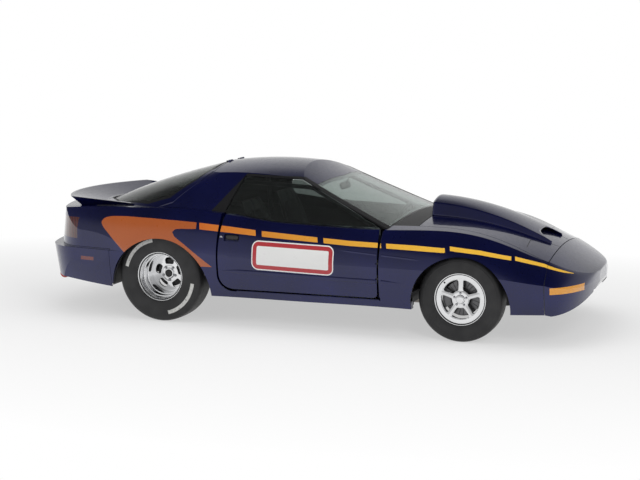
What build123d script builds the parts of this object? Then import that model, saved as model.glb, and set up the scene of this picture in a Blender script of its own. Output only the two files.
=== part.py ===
from build123d import *
import math
import os

# Drag racing coupe, in millimetres. +X is forward, +Y left, +Z up.
# The origin is on the ground, under the middle of the car's length and width.

# Whole car
WHEELBASE = 2568.0
FRONT_OVERHANG = 964.0
REAR_OVERHANG = 1264.0
LENGTH = WHEELBASE + FRONT_OVERHANG + REAR_OVERHANG
NOSE_X = LENGTH / 2
TAIL_X = -LENGTH / 2
FA = NOSE_X - FRONT_OVERHANG
RA = TAIL_X + REAR_OVERHANG
FAR_OUT = 1000.0
HIGH_UP = 1500.0

# Body skins
SKIN = 35.0
HOOD_SKIN = 30.0
DOOR_DEPTH = 95.0
SEAM = 6.0
FENDER_SEAM = 2.0
FENDER_FRONT_X = FA + 655.0
TAIL_R = 1600.0
TAIL_HALF_W = 600.0
TAIL_CORNER_R = 420.0
TAIL_CORNER_TURN = 80.0
TAIL_STEP = 85.0
TAIL_STEP_Z = 590.0
TAIL_LEAN = 0.12
BUMPER_LEAN = 0.16
SIDE_BULGE = 0.036
SHOULDER_BULGE = 0.085
SHOULDER_INSET = 0.8
OVERCUT = 10.0

# Wheels and tyres
FRONT_TYRE_R = 338.0
FRONT_TYRE_W = 180.0
FRONT_TRACK_Y = 750.0
REAR_TYRE_R = 382.0
REAR_TYRE_W = 250.0
REAR_TRACK_Y = 747.0
BEAD_R = 190.0
RIM_LIP_R = 206.0
RIM_WALL = 8.0
RUNNING_FIT = 0.05
SEAT_FIT = 0.3
SPINDLE_R = 22.0
AXLE_STUB_R = 30.0

# Wheel arches
FRONT_ARCH_R = 390.0
FRONT_ARCH_X = FA + 12.0
FRONT_ARCH_Z = 290.0
REAR_ARCH_R = 457.0
REAR_ARCH_X = RA + 27.0
REAR_ARCH_Z = 254.0
TYRE_ROOM = 20.0
WHEELHOUSE_OUT_Y = 886.0

# Doors
DOOR_FRONT_X = FA - 634.0
DOOR_REAR_X = RA + 558.0
DOOR_BOTTOM_Z = 310.0
DOOR_HINGE_GAP = 12.0
DOOR_REAR_CORNER_R = 130.0
DOOR_FRONT_CORNER_R = 40.0
DOOR_TAPER = 8.0
DOOR_IN_Y = 600.0
HINGE_BACK = 12.0
HINGE_Y = 913.0
HINGE_PIN_R = 5.0
HINGE_PIN_L = 60.0
HINGE_LEAF_H = 8.0
HINGE_ROOM = 1.0
HINGE_SLOT_X = (-10.0, 40.0)
HINGE_SLOT_Y = (-60.0, 8.0)
HINGE_Z = (480.0, 600.0)
ROCKER_TOP_Z = DOOR_BOTTOM_Z - SEAM
ROCKER_X = (RA + 380.0, FA - 300.0)

# Top of the body: cabin opening, hood and hatch
BELT_HALF_W = 735.0
TOP_CUT_Z = 868.0
COWL_REAR_X = DOOR_FRONT_X + DOOR_HINGE_GAP
HOOD_REAR_X = FA - 378.0
HOOD_HALF_W = 657.0
HATCH_FRONT_X = RA + 335.0
LID_GAP = 6.0
HATCH_PIN_R = 4.0
HATCH_PIN_L = 60.0
HATCH_PIN_Y = 120.0
HATCH_LEAF = 12.0
HATCH_KNUCKLE_R = 8.0
HATCH_LEAF_L = 30.0
HATCH_LEAF_T = 4.0
HATCH_TAB_H = 24.0
HATCH_ROOM = 1.0
HATCH_SWEEP = 4.0
HATCH_TAIL_Z = TOP_CUT_Z + LID_GAP

# Greenhouse
ROOF_Z = 1322.0
ROOF_PEAK_X = RA + 750.0
ROOF_LENGTH_R = 3310.0
ROOF_CROWN_R = 1850.0
PILLAR = 30.0
GLASS = 6.0
WINDOW_TOP_Z = 1216.0

# Floor and frame
FLOOR_Z = 262.0
FLOOR_T = 20.0
REAR_FLOOR_Z = 540.0
REAR_FLOOR_T = 15.0
REAR_FLOOR_X = RA + 480.0
FIREWALL_X = FA - 420.0
RAIL_IN_Y = 330.0
RAIL_OUT_Y = 410.0
RAIL_Z = (300.0, 400.0)
TUNNEL_HALF_W = 150.0
TUNNEL_Z = 560.0
TUB_IN_Y = 580.0
TUB_WALL = 12.0
TUB_TOP_Z = 812.0
HOOD_POST_X = (FA - 360.0, FA + 500.0)
FIREWALL_T = 20.0
FIREWALL_TOP_Z = 800.0
BULKHEAD_T = 12.0
BULKHEAD_HALF_W = 700.0
TUNNEL_WALL = 12.0
REAR_FLOOR_END_X = TAIL_X + 150.0
TAIL_BEAM_T = 30.0
TAIL_BEAM_Z = 400.0
TUB_HALF_L = 440.0
TUB_LOW_Z = 420.0
RAIL_END_X = FENDER_FRONT_X + 170.0
BRACE_X = (FA - 410.0, FA + 560.0, FENDER_FRONT_X + 80.0)
BRACE_T = 40.0
BRACE_Z = (340.0, 380.0)
SILL_Y = (660.0, 740.0)
SILL_DEPTH = 20.0
CROSSMEMBER_HALF_L = 70.0
CROSSMEMBER_Z = 190.0
TOWER_TOP_Z = 500.0
MOUNT_X = (FA - 60.0, FA + 60.0)
MOUNT_Y = (180.0, 250.0)
RADIATOR_X = (FENDER_FRONT_X - 60.0, FENDER_FRONT_X - 20.0)
RADIATOR_Z = (300.0, 600.0)
HOOD_POST = 30.0
HOOD_POST_IN = 20.0
JACK_PAD = 90.0
JACK_PAD_HALF_W = 40.0
JACK_PAD_Z = 226.0
JACK_PAD_Y = 700.0
JACK_PAD_X = (RA + 620.0, FA - 560.0)

# Running gear
ENGINE_BOTTOM_Z = 330.0
CROSSMEMBER_TOP_Z = 260.0
DRIVE_Z = REAR_TYRE_R
SHAFT_R = 38.0
AXLE_TUBE_R = 42.0
DIFF_R = 130.0
KINGPIN_Y = 680.0
KINGPIN_R = 12.0
ARM_LOW_Z = 238.0
ARM_HIGH_Z = 438.0
DISC_R = 140.0

# Wheelie bar
WHEELIE_X = TAIL_X + 49.0
WHEELIE_Y = 340.0
WHEELIE_Z = 265.0
WHEELIE_R = 45.0
WHEELIE_W = 44.0
WHEELIE_BAR_Y = 290.0
WHEELIE_BAR_R = 12.0
WHEELIE_AXLE_R = 10.0
SLEEVE_HALF_W = 20.0
SLEEVE_WALL = 18.0
SLEEVE_ROOT = 40.0


def block(x0, x1, y0, y1, z0, z1):
    """A block between two corners."""
    middle = Pos((x0 + x1) / 2, (y0 + y1) / 2, (z0 + z1) / 2)
    return middle * Box(abs(x1 - x0), abs(y1 - y0), abs(z1 - z0))


def cross_cylinder(x, y0, y1, z, radius):
    """A cylinder that lies across the car."""
    return Pos(x, (y0 + y1) / 2, z) * Rot(90, 0, 0) * Cylinder(radius, abs(y1 - y0))


def rod(start, end, radius):
    """A round bar between two points."""
    along = Vector(*end) - Vector(*start)
    return extrude(Plane(origin=start, z_dir=along) * Circle(radius), along.length)


def side_prism(points, y0, y1):
    """An outline in side view (x, z), made solid from y0 to y1."""
    outline = Polyline(*[(x, y0, z) for x, z in points], close=True)
    return extrude(make_face(outline), amount=abs(y1 - y0), dir=(0, 1 if y1 > y0 else -1, 0))


def plan_prism(points, z0, z1):
    """An outline in plan (x, y), made solid from z0 to z1."""
    outline = Polyline(*[(x, y, z0) for x, y in points], close=True)
    return extrude(make_face(outline), amount=z1 - z0, dir=(0, 0, 1))


def both(right):
    """The right-hand shape with its mirror image on the left."""
    return Compound(children=[right, mirror(right, about=Plane.XZ)])


def bulged(start, end, share):
    """The middle of a side arc: half way, pushed outwards by a share of the chord."""
    dw = end[0] - start[0]
    dz = end[1] - start[1]
    return ((start[0] + end[0]) / 2 + dz * share, (start[1] + end[1]) / 2 - dw * share)


# Body sections from the nose back: half-widths and heights of the sill, the widest line and
# the shoulder, and the height of the crown on the centre line.
# x, sill_w, sill_z, mid_w, mid_z, shoulder_w, shoulder_z, crown_z
NOSE_ROWS = [
    (NOSE_X, 150, 424, 170, 470, 120, 508, 516),
    (NOSE_X - 25, 350, 366, 400, 455, 310, 518, 533),
    (NOSE_X - 80, 545, 308, 605, 448, 450, 536, 562),
    (NOSE_X - 180, 712, 258, 775, 460, 570, 578, 618),
    (FENDER_FRONT_X, 792, 238, 856, 487, 648, 638, 692),
]
BODY_ROWS = [
    (FENDER_FRONT_X, 792, 238, 856, 487, 648, 638, 692),
    (FA + 332, 850, 235, 915, 530, 724, 764, 808),
    (FA, 880, 240, 938, 560, 765, 848, 882),
    (FA - 468, 885, 250, 932, 570, 790, 855, 912),
    (FA - 968, 880, 252, 928, 575, 802, 852, 905),
    (RA + 1000, 880, 252, 930, 580, 804, 874, 918),
    (RA + 500, 885, 252, 938, 590, 800, 930, 952),
    (RA, 895, 255, 944, 600, 790, 948, 966),
    (RA - 550, 862, 285, 912, 610, 760, 938, 956),
    (RA - 950, 785, 320, 840, 620, 705, 912, 934),
    (TAIL_X, 715, 350, 770, 620, 640, 890, 910),
]
INNER_DROP = 150.0


def body_section(row, inset, drop):
    """One section across the body: a flat bottom, two arcs up each side and a crowned top."""
    x, sill_w, sill_z, mid_w, mid_z, shoulder_w, shoulder_z, crown_z = row
    sill = (sill_w - inset, sill_z - drop)
    mid = (mid_w - inset, mid_z)
    shoulder = (shoulder_w - inset * SHOULDER_INSET, shoulder_z - inset * SHOULDER_INSET)
    low = bulged(sill, mid, SIDE_BULGE)
    high = bulged(mid, shoulder, SHOULDER_BULGE)

    def at(point, side):
        return (x, side * point[0], point[1])

    edges = [Line(at(sill, -1), at(sill, 1))]
    edges.append(ThreePointArc(at(sill, 1), at(low, 1), at(mid, 1)))
    edges.append(ThreePointArc(at(mid, 1), at(high, 1), at(shoulder, 1)))
    edges.append(ThreePointArc(at(shoulder, 1), (x, 0, crown_z - inset), at(shoulder, -1)))
    edges.append(ThreePointArc(at(shoulder, -1), at(high, -1), at(mid, -1)))
    edges.append(ThreePointArc(at(mid, -1), at(low, -1), at(sill, -1)))
    return Face(Wire(edges))


def tail_face(inset, step, z):
    """Everything ahead of a tail with a shallow middle arc and round corners, as a face at one height."""
    middle_x = TAIL_X + step + TAIL_R
    turn = math.asin(TAIL_HALF_W / TAIL_R)
    corner_x = middle_x - (TAIL_R - TAIL_CORNER_R) * math.cos(turn)
    corner_y = (TAIL_R - TAIL_CORNER_R) * math.sin(turn)
    corner_r = TAIL_CORNER_R - inset
    last_turn = math.radians(TAIL_CORNER_TURN)

    def on_corner(angle, side):
        y = corner_y + corner_r * math.sin(angle)
        return (corner_x - corner_r * math.cos(angle), side * y, z)

    front = NOSE_X + FAR_OUT
    edges = []
    for side in (-1, 1):
        last = on_corner(last_turn, side)
        out = (last[0] + (FAR_OUT - abs(last[1])) * math.tan(last_turn), side * FAR_OUT, z)
        edges.append(ThreePointArc(on_corner(turn, side), on_corner((turn + last_turn) / 2, side), last))
        edges.append(Line(last, out))
        edges.append(Line(out, (front, side * FAR_OUT, z)))
    edges.append(Line((front, -FAR_OUT, z), (front, FAR_OUT, z)))
    middle = (TAIL_X + step + inset, 0, z)
    edges.append(ThreePointArc(on_corner(turn, -1), middle, on_corner(turn, 1)))
    return Face(Wire(edges))


def tail_limit(inset):
    """The bumper's tail, tucked in at the foot, with a step on top and a leaning panel above it."""
    step_z = TAIL_STEP_Z - inset
    bumper = extrude(tail_face(inset, 0, step_z), amount=step_z, dir=(BUMPER_LEAN, 0, -1))
    panel = extrude(tail_face(inset, TAIL_STEP, step_z), amount=HIGH_UP, dir=(TAIL_LEAN, 0, 1))
    return bumper + panel


def body_main(inset, drop=INNER_DROP):
    """The body behind the nose as one closed form, inset by a skin."""
    return loft([body_section(row, inset, drop) for row in BODY_ROWS]) & tail_limit(inset)


def body_form(inset, drop=INNER_DROP):
    """The body below the windows as one closed form, inset by a skin."""
    reach = NOSE_X - FENDER_FRONT_X
    nose_rows = []
    for row in NOSE_ROWS:
        x = FENDER_FRONT_X + (row[0] - FENDER_FRONT_X) * (reach - inset) / reach
        nose_rows.append((x,) + row[1:])
    nose = loft([body_section(row, inset, drop) for row in nose_rows])
    return body_main(inset, drop) + nose


# Greenhouse outlines in plan, from the belt up: the windscreen's middle and corners, the
# rear window's corners and middle, and the half-widths at the corners.
# z, front_x, front_corner_x, front_w, rear_corner_x, rear_w, rear_x
CABIN_ROWS = [
    (800, FA - 270, FA - 470, 802, RA - 70, 806, RA - 1066),
    (1085, FA - 1000, FA - 1128, 640, RA + 245, 630, RA - 416),
    (1340, FA - 1560, FA - 1655, 490, RA + 534, 407, RA + 520),
]
CABIN_SIDE_BULGE = 22.0
CABIN_INSET_FRONT = 2.7
CABIN_INSET_REAR = 2.9
CABIN_INSET_SIDE = 1.2
REAR_ARC_LEAST = 5.0
BARREL_HALF_L = 2000.0


def cabin_outline(row, inset, z):
    """One plan outline of the greenhouse."""
    _, front_x, front_corner_x, front_w, rear_corner_x, rear_w, rear_x = row
    front_x -= inset * CABIN_INSET_FRONT
    front_corner_x -= inset * CABIN_INSET_FRONT
    rear_x += inset * CABIN_INSET_REAR
    rear_corner_x += inset * CABIN_INSET_REAR
    front_w -= inset * CABIN_INSET_SIDE
    rear_w -= inset * CABIN_INSET_SIDE
    mid_x = (front_corner_x + rear_corner_x) / 2
    mid_w = (front_w + rear_w) / 2 + CABIN_SIDE_BULGE
    rear_x = min(rear_x, rear_corner_x - REAR_ARC_LEAST)
    edges = [
        ThreePointArc((front_corner_x, -front_w, z), (front_x, 0, z), (front_corner_x, front_w, z)),
        ThreePointArc((front_corner_x, front_w, z), (mid_x, mid_w, z), (rear_corner_x, rear_w, z)),
        ThreePointArc((rear_corner_x, rear_w, z), (rear_x, 0, z), (rear_corner_x, -rear_w, z)),
        ThreePointArc((rear_corner_x, -rear_w, z), (mid_x, -mid_w, z), (front_corner_x, -front_w, z)),
    ]
    return Face(Wire(edges))


def roof_barrel(inset):
    """Everything under the roof: a barrel that is crowned along and across the car."""
    top = ROOF_Z - inset
    axis_z = ROOF_Z - ROOF_CROWN_R
    half = BARREL_HALF_L
    drop = ROOF_LENGTH_R - (ROOF_LENGTH_R ** 2 - half ** 2) ** 0.5
    start = (ROOF_PEAK_X - half, 0, top - drop)
    end = (ROOF_PEAK_X + half, 0, top - drop)
    edges = [
        ThreePointArc(start, (ROOF_PEAK_X, 0, top), end),
        Line(end, (ROOF_PEAK_X + half, 0, axis_z)),
        Line((ROOF_PEAK_X + half, 0, axis_z), (ROOF_PEAK_X - half, 0, axis_z)),
        Line((ROOF_PEAK_X - half, 0, axis_z), start),
    ]
    return revolve(Face(Wire(edges)), axis=Axis((0, 0, axis_z), (1, 0, 0)))


def cabin_form(inset):
    """The greenhouse as one closed form, inset by a pane or a pillar."""
    faces = [cabin_outline(row, inset, row[0]) for row in CABIN_ROWS]
    return loft(faces) & roof_barrel(inset)


# The hatch's and the rear window's right-hand edges in plan, from the roof back: x, half-width
HATCH_EDGE = [
    (HATCH_FRONT_X, 455),
    (RA + 250, 560),
    (RA + 60, 700),
    (RA - 60, 728),
    (RA - 200, 730),
    (TAIL_X - 50, 625),
]
REAR_WINDOW_EDGE = [
    (HATCH_FRONT_X - 45, 405),
    (RA + 205, 515),
    (RA + 20, 650),
    (RA - 180, 675),
    (RA - 520, 545),
    (RA - 780, 200),
]


def hatch_prism(gap, z0):
    """The hatch's outline in plan, made solid upwards from z0."""
    right = [(x, -half_w - gap) for x, half_w in HATCH_EDGE]
    right[0] = (right[0][0] + gap, right[0][1])
    left = [(x, -y) for x, y in reversed(right)]
    return plan_prism(right + left, z0, HIGH_UP)


def hatch_glass_prism(gap):
    """The rear window's outline in plan."""
    right = [(x, -half_w - gap) for x, half_w in REAR_WINDOW_EDGE]
    right[0] = (right[0][0] + gap, right[0][1])
    right[-1] = (right[-1][0] - gap, right[-1][1])
    left = [(x, -y) for x, y in reversed(right)]
    return plan_prism(right + left, TOP_CUT_Z, HIGH_UP)


# The windscreen in plan: its base's corners and half-width, and its top edge's corner and middle
SCREEN_FRONT_X = FA - 100.0
SCREEN_CORNER_X = FA - 590.0
SCREEN_HALF_W = 715.0
SCREEN_TOP_X = FA - 1275.0
SCREEN_TOP_HALF_W = 545.0
SCREEN_TOP_MIDDLE_X = FA - 1235.0
SCREEN_LOW_Z = TOP_CUT_Z - 20.0

# The side window from the side
WINDOW_LOW_Z = 800.0
WINDOW_FRONT_X = DOOR_FRONT_X + 8.0
WINDOW_FRONT_Z = 850.0
WINDOW_TOP_FRONT_X = FA - 1390.0
WINDOW_TOP_FRONT_Z = WINDOW_TOP_Z - 16.0
WINDOW_TOP_REAR_X = RA + 660.0
WINDOW_REAR_X = RA + 556.0
WINDOW_REAR_Z = 945.0
WINDOW_IN_Y = 450.0
DOOR_GLASS_GAP = 5.0


def windshield_prism(gap):
    """The windscreen's outline in plan."""
    right = [
        (SCREEN_FRONT_X, -SCREEN_HALF_W - gap),
        (SCREEN_CORNER_X, -SCREEN_HALF_W - gap),
        (SCREEN_TOP_X - gap, -SCREEN_TOP_HALF_W - gap),
    ]
    left = [(x, -y) for x, y in reversed(right)]
    middle = [(SCREEN_TOP_MIDDLE_X - gap, 0)]
    return plan_prism(right + middle + left, SCREEN_LOW_Z, HIGH_UP)


def side_window_prism(gap):
    """The right-hand side window's outline."""
    points = [
        (WINDOW_FRONT_X + gap, WINDOW_LOW_Z),
        (WINDOW_FRONT_X + gap, WINDOW_FRONT_Z + gap),
        (WINDOW_TOP_FRONT_X + gap, WINDOW_TOP_FRONT_Z + gap),
        (WINDOW_TOP_REAR_X - gap, WINDOW_TOP_Z + gap),
        (WINDOW_REAR_X - gap, WINDOW_REAR_Z),
        (WINDOW_REAR_X - gap, WINDOW_LOW_Z),
    ]
    return side_prism(points, -FAR_OUT, -WINDOW_IN_Y)


def door_prism(gap, taper):
    """The right door's outline, cut inwards; the taper lets its rear edge swing out."""
    front = DOOR_FRONT_X + (DOOR_HINGE_GAP if gap else 0)
    rear = DOOR_REAR_X - gap
    bottom = DOOR_BOTTOM_Z - gap
    plane = Plane(origin=(0, -FAR_OUT, 0), x_dir=(1, 0, 0), z_dir=(0, 1, 0))
    outline = [(front, bottom), (front, HIGH_UP), (rear, HIGH_UP), (rear, bottom)]
    sketch = plane * make_face(Polyline(*[(x, -z) for x, z in outline], close=True))
    corners = sketch.vertices().group_by(Axis.Z)[0].sort_by(Axis.X)
    sketch = fillet(corners[0], DOOR_REAR_CORNER_R + gap)
    corners = [v for v in sketch.vertices() if v.X > front - 1 and v.Z < HIGH_UP - 1]
    sketch = fillet(corners, DOOR_FRONT_CORNER_R)
    return extrude(sketch, amount=FAR_OUT - DOOR_IN_Y, taper=taper)


# Places of the lamps, bumper, handle and openings
LAMP_DEPTH = 20.0
LAMP_LENGTH = 480.0
LAMP_IN_Y = 330.0
LAMP_Z = (668.0, 842.0)
FRONT_MARKER_X = (FA + 696.0, FA + 906.0)
FRONT_MARKER_IN_Y = 400.0
FRONT_MARKER_Z = (418.0, 470.0)
REAR_MARKER_X = (RA - 740.0, RA - 605.0)
REAR_MARKER_IN_Y = 600.0
REAR_MARKER_Z = (492.0, 522.0)
TAIL_PANEL_X = TAIL_X + 180.0
BUMPER_TOP_Z = 600.0
BUMPER_FRONT_X = RA - 440.0
BUMPER_SEAM = 3.0
INTAKE_REAR_X = FENDER_FRONT_X + 100.0
INTAKE_HALF_W = 330.0
INTAKE_Z = (345.0, 385.0)
HANDLE_X = (DOOR_REAR_X + 56.0, DOOR_REAR_X + 186.0)
HANDLE_Z = (718.0, 772.0)
ARCH_IN_Y = 500.0
CABIN_CUT_REAR_X = RA - 200.0
CABIN_CUT_LOW_Z = 700.0
UPPER_LOW_Z = 600.0

# Shared forms, each made once
OUTER = body_form(0, drop=0)
UNDER_SKIN = body_form(SKIN)
UNDER_HOOD = body_form(HOOD_SKIN)
UNDER_DOOR = body_main(DOOR_DEPTH)
UNDER_LAMP = body_form(LAMP_DEPTH)
BODY_SHELL = OUTER - UNDER_SKIN
DEEP_SHELL = OUTER - UNDER_DOOR
CABIN = cabin_form(0)
CABIN_IN = cabin_form(PILLAR)
CABIN_SHELL = CABIN - CABIN_IN
PANES = CABIN - cabin_form(GLASS)
FRONT_ARCH = cross_cylinder(FRONT_ARCH_X, -FAR_OUT, -ARCH_IN_Y, FRONT_ARCH_Z, FRONT_ARCH_R)
REAR_ARCH = cross_cylinder(REAR_ARCH_X, -FAR_OUT, -ARCH_IN_Y, REAR_ARCH_Z, REAR_ARCH_R)
REAR_HOUSE = cross_cylinder(RA, -WHEELHOUSE_OUT_Y, -ARCH_IN_Y, REAR_TYRE_R, REAR_TYRE_R + TYRE_ROOM)
CABIN_CUT = block(CABIN_CUT_REAR_X, COWL_REAR_X, -BELT_HALF_W, BELT_HALF_W, CABIN_CUT_LOW_Z, HIGH_UP)
LAMP_BOXES = block(TAIL_X, TAIL_X + LAMP_LENGTH, -FAR_OUT, -LAMP_IN_Y, *LAMP_Z)
FRONT_MARKER = block(*FRONT_MARKER_X, -FAR_OUT, -FRONT_MARKER_IN_Y, *FRONT_MARKER_Z)
REAR_MARKER = block(*REAR_MARKER_X, -FAR_OUT, -REAR_MARKER_IN_Y, *REAR_MARKER_Z)


def front_fender():
    region = block(COWL_REAR_X, FENDER_FRONT_X - FENDER_SEAM, -FAR_OUT, -HOOD_HALF_W - SEAM, 0, HIGH_UP)
    sill = block(COWL_REAR_X - OVERCUT, FA, -FAR_OUT, 0, 0, ROCKER_TOP_Z)
    return (BODY_SHELL & region) - sill - FRONT_ARCH


def hood():
    region = block(HOOD_REAR_X, FENDER_FRONT_X - SEAM, -HOOD_HALF_W, HOOD_HALF_W, UPPER_LOW_Z, HIGH_UP)
    return (OUTER - UNDER_HOOD) & region


def cowl():
    half = HOOD_HALF_W + SEAM
    region = block(COWL_REAR_X, HOOD_REAR_X - SEAM, -half, half, UPPER_LOW_Z, HIGH_UP)
    return BODY_SHELL & region


# The scoop's sections from the rear opening forward: x, half-width, height over the hood
SCOOP_ROWS = [
    (FA - 388, 250, 142),
    (FA + 100, 250, 100),
    (FA + 420, 235, 56),
    (FA + 590, 215, 26),
]
SCOOP_SINK = 40.0
SCOOP_WALL = 8.0
SCOOP_CROWN = 25.0
SCOOP_FLARE = 15.0
SCOOP_OVERRUN = 20.0


def crown_at(x):
    """Height of the body's crown on the centre line at x."""
    for ahead, behind in zip(BODY_ROWS, BODY_ROWS[1:]):
        if behind[0] <= x <= ahead[0]:
            share = (x - behind[0]) / (ahead[0] - behind[0])
            return behind[7] + share * (ahead[7] - behind[7])
    return BODY_ROWS[0][7]


def scoop_form(inset, overrun):
    """The scoop's bulge, longer than its ends by an overrun."""
    faces = []
    for index, (x, half_w, height) in enumerate(SCOOP_ROWS):
        if index == 0:
            x -= overrun
        if index == len(SCOOP_ROWS) - 1:
            x += overrun
        base = crown_at(x) - SCOOP_SINK
        top = crown_at(x) + height - inset
        wide = half_w - inset
        side = top - SCOOP_CROWN
        foot = wide + SCOOP_FLARE
        edges = [
            Line((x, -foot, base), (x, foot, base)),
            Line((x, foot, base), (x, wide, side)),
            ThreePointArc((x, wide, side), (x, 0, top), (x, -wide, side)),
            Line((x, -wide, side), (x, -foot, base)),
        ]
        faces.append(Face(Wire(edges)))
    return loft(faces)


def hood_scoop():
    return scoop_form(0, 0) - scoop_form(SCOOP_WALL, SCOOP_OVERRUN) - OUTER


def front_fascia():
    region = block(FENDER_FRONT_X, NOSE_X + OVERCUT, -FAR_OUT, FAR_OUT, 0, HIGH_UP)
    markers = both(FRONT_MARKER - UNDER_LAMP)
    intake = block(INTAKE_REAR_X, NOSE_X, -INTAKE_HALF_W, INTAKE_HALF_W, *INTAKE_Z)
    return (BODY_SHELL & region) - markers - intake


def front_markers():
    return both((FRONT_MARKER & OUTER) - UNDER_LAMP)


def rear_markers():
    return both((REAR_MARKER & OUTER) - UNDER_LAMP)


def bumper_region():
    low = block(TAIL_X - OVERCUT, BUMPER_FRONT_X, -FAR_OUT, FAR_OUT, 0, BUMPER_TOP_Z)
    tail = block(TAIL_X - OVERCUT, TAIL_PANEL_X, -FAR_OUT, FAR_OUT, 0, TOP_CUT_Z)
    return low + tail


def rear_fascia():
    lamps = both(LAMP_BOXES - UNDER_LAMP)
    markers = both(REAR_MARKER - UNDER_LAMP)
    arches = both(REAR_ARCH + REAR_HOUSE)
    return (BODY_SHELL & bumper_region()) - lamps - markers - arches - hatch_prism(LID_GAP, TOP_CUT_Z)


def tail_lamps():
    return both((LAMP_BOXES & OUTER) - UNDER_LAMP)


def quarter_panel():
    region = block(TAIL_X - OVERCUT, DOOR_REAR_X + DOOR_REAR_CORNER_R, -FAR_OUT, 0, ROCKER_TOP_Z, HIGH_UP)
    panel = (BODY_SHELL & region) - door_prism(SEAM, 0) - CABIN_CUT - hatch_prism(LID_GAP, TOP_CUT_Z)
    bumper_x = BUMPER_FRONT_X + BUMPER_SEAM
    bumper = block(TAIL_X - OVERCUT, bumper_x, -FAR_OUT, 0, 0, BUMPER_TOP_Z + BUMPER_SEAM)
    tail = block(TAIL_X - OVERCUT, TAIL_PANEL_X + BUMPER_SEAM, -FAR_OUT, 0, 0, HIGH_UP)
    lamp = LAMP_BOXES - UNDER_LAMP
    return panel - bumper - tail - lamp - REAR_ARCH - REAR_HOUSE


def rocker():
    region = block(*ROCKER_X, -FAR_OUT, 0, 0, ROCKER_TOP_Z)
    return (DEEP_SHELL & region) - FRONT_ARCH - REAR_ARCH


def door():
    panel = (DEEP_SHELL & door_prism(0, DOOR_TAPER)) - CABIN_CUT
    panel -= block(*HANDLE_X, -FAR_OUT, 0, *HANDLE_Z) - UNDER_LAMP
    x = DOOR_FRONT_X - HINGE_BACK
    y = -HINGE_Y
    for z in HINGE_Z:
        panel -= Pos(x, y, z) * Cylinder(HINGE_PIN_R + SEAT_FIT, HINGE_PIN_L + 2 * SEAT_FIT)
        half = HINGE_LEAF_H / 2 + HINGE_ROOM
        slot_x = [x + step for step in HINGE_SLOT_X]
        slot_y = [y + step for step in HINGE_SLOT_Y]
        panel -= block(*slot_x, *slot_y, z - half, z + half)
    return panel


def door_hinges():
    """Leaves on the fenders' rear faces, each with an upright pin in the door."""
    x = DOOR_FRONT_X - HINGE_BACK
    y = -HINGE_Y
    leaves = []
    for z in HINGE_Z:
        half = HINGE_LEAF_H / 2
        leaf = block(x, COWL_REAR_X, y - HINGE_PIN_R, y + HINGE_PIN_R, z - half, z + half)
        pin = Pos(x, y, z) * Cylinder(HINGE_PIN_R, HINGE_PIN_L)
        leaves.append(leaf + pin)
        leaves.append(mirror(leaf + pin, about=Plane.XZ))
    return Compound(children=leaves)


def door_glass():
    return (PANES & side_window_prism(-DOOR_GLASS_GAP)) - OUTER


def roof_frame():
    frame = CABIN_SHELL - OUTER
    frame -= windshield_prism(0)
    frame -= both(side_window_prism(0))
    frame -= hatch_prism(LID_GAP, TOP_CUT_Z)
    for y in (-HATCH_PIN_Y, HATCH_PIN_Y):
        half = HATCH_PIN_L / 2
        room = HATCH_KNUCKLE_R + LID_GAP
        frame -= cross_cylinder(HATCH_FRONT_X, y - half - LID_GAP, y + half + LID_GAP, HATCH_AXIS_Z, room)
        leaf_z = HATCH_AXIS_Z - HATCH_PIN_R - HATCH_LEAF_T
        half_leaf = HATCH_LEAF / 2
        leaf_end_x = HATCH_FRONT_X + HATCH_LEAF_L
        frame += block(HATCH_FRONT_X, leaf_end_x, y - half_leaf, y + half_leaf, leaf_z, HATCH_AXIS_Z)
        frame += cross_cylinder(HATCH_FRONT_X, y - half, y + half, HATCH_AXIS_Z, HATCH_PIN_R)
    return frame


def windshield():
    return (PANES & windshield_prism(-SEAT_FIT)) - OUTER


def hatch_lid():
    """The hatch without its hinges: the rear window's frame and the deck."""
    lid = (OUTER - UNDER_HOOD - CABIN_IN) + (CABIN_SHELL - UNDER_HOOD)
    return (lid & hatch_prism(0, HATCH_TAIL_Z)) - hatch_glass_prism(0)


HATCH_LID = hatch_lid()
HATCH_AXIS_Z = HATCH_LID.bounding_box().max.Z


def hatch():
    """The lid with a knuckle on each side of the roof's two hinge leaves."""
    lid = HATCH_LID
    half_leaf = HATCH_LEAF / 2 + HATCH_ROOM
    for y in (-HATCH_PIN_Y, HATCH_PIN_Y):
        for side in (-1, 1):
            start = y + side * half_leaf
            end = y + side * HATCH_PIN_L / 2
            lid += cross_cylinder(HATCH_FRONT_X, start, end, HATCH_AXIS_Z, HATCH_KNUCKLE_R)
            tab_z = HATCH_AXIS_Z - HATCH_TAB_H
            lid += block(HATCH_FRONT_X - HATCH_LEAF_L, HATCH_FRONT_X, start, end, tab_z, HATCH_AXIS_Z)
        bore = HATCH_PIN_R + RUNNING_FIT
        half = HATCH_PIN_L / 2 + HATCH_ROOM
        lid -= cross_cylinder(HATCH_FRONT_X, y - half, y + half, HATCH_AXIS_Z, bore)
        sweep_r = HATCH_KNUCKLE_R + HATCH_SWEEP
        lid -= cross_cylinder(HATCH_FRONT_X, y - half_leaf, y + half_leaf, HATCH_AXIS_Z, sweep_r)
    return lid


def hatch_glass():
    return (PANES & hatch_glass_prism(-SEAT_FIT)) - OUTER


SPOILER_TAIL_X = RA - 1136.0
SPOILER_CORNER_X = RA - 916.0
SPOILER_FRONT_X = RA - 330.0
SPOILER_HALF_W = 700.0
SPOILER_RIM_Z = 1007.0
SPOILER_FRONT_Z = 958.0
SPOILER_FOOT_Z = 900.0
SPOILER_FOOT_IN = 85.0
SPOILER_RIM = 14.0
BOWL_Z = 935.0
BOWL_OVER = 1.0
BOWL_REAR_IN = 300.0
BOWL_SIDE_IN = 120.0
SPOILER_ARM_X = SPOILER_FRONT_X + 20.0


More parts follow.
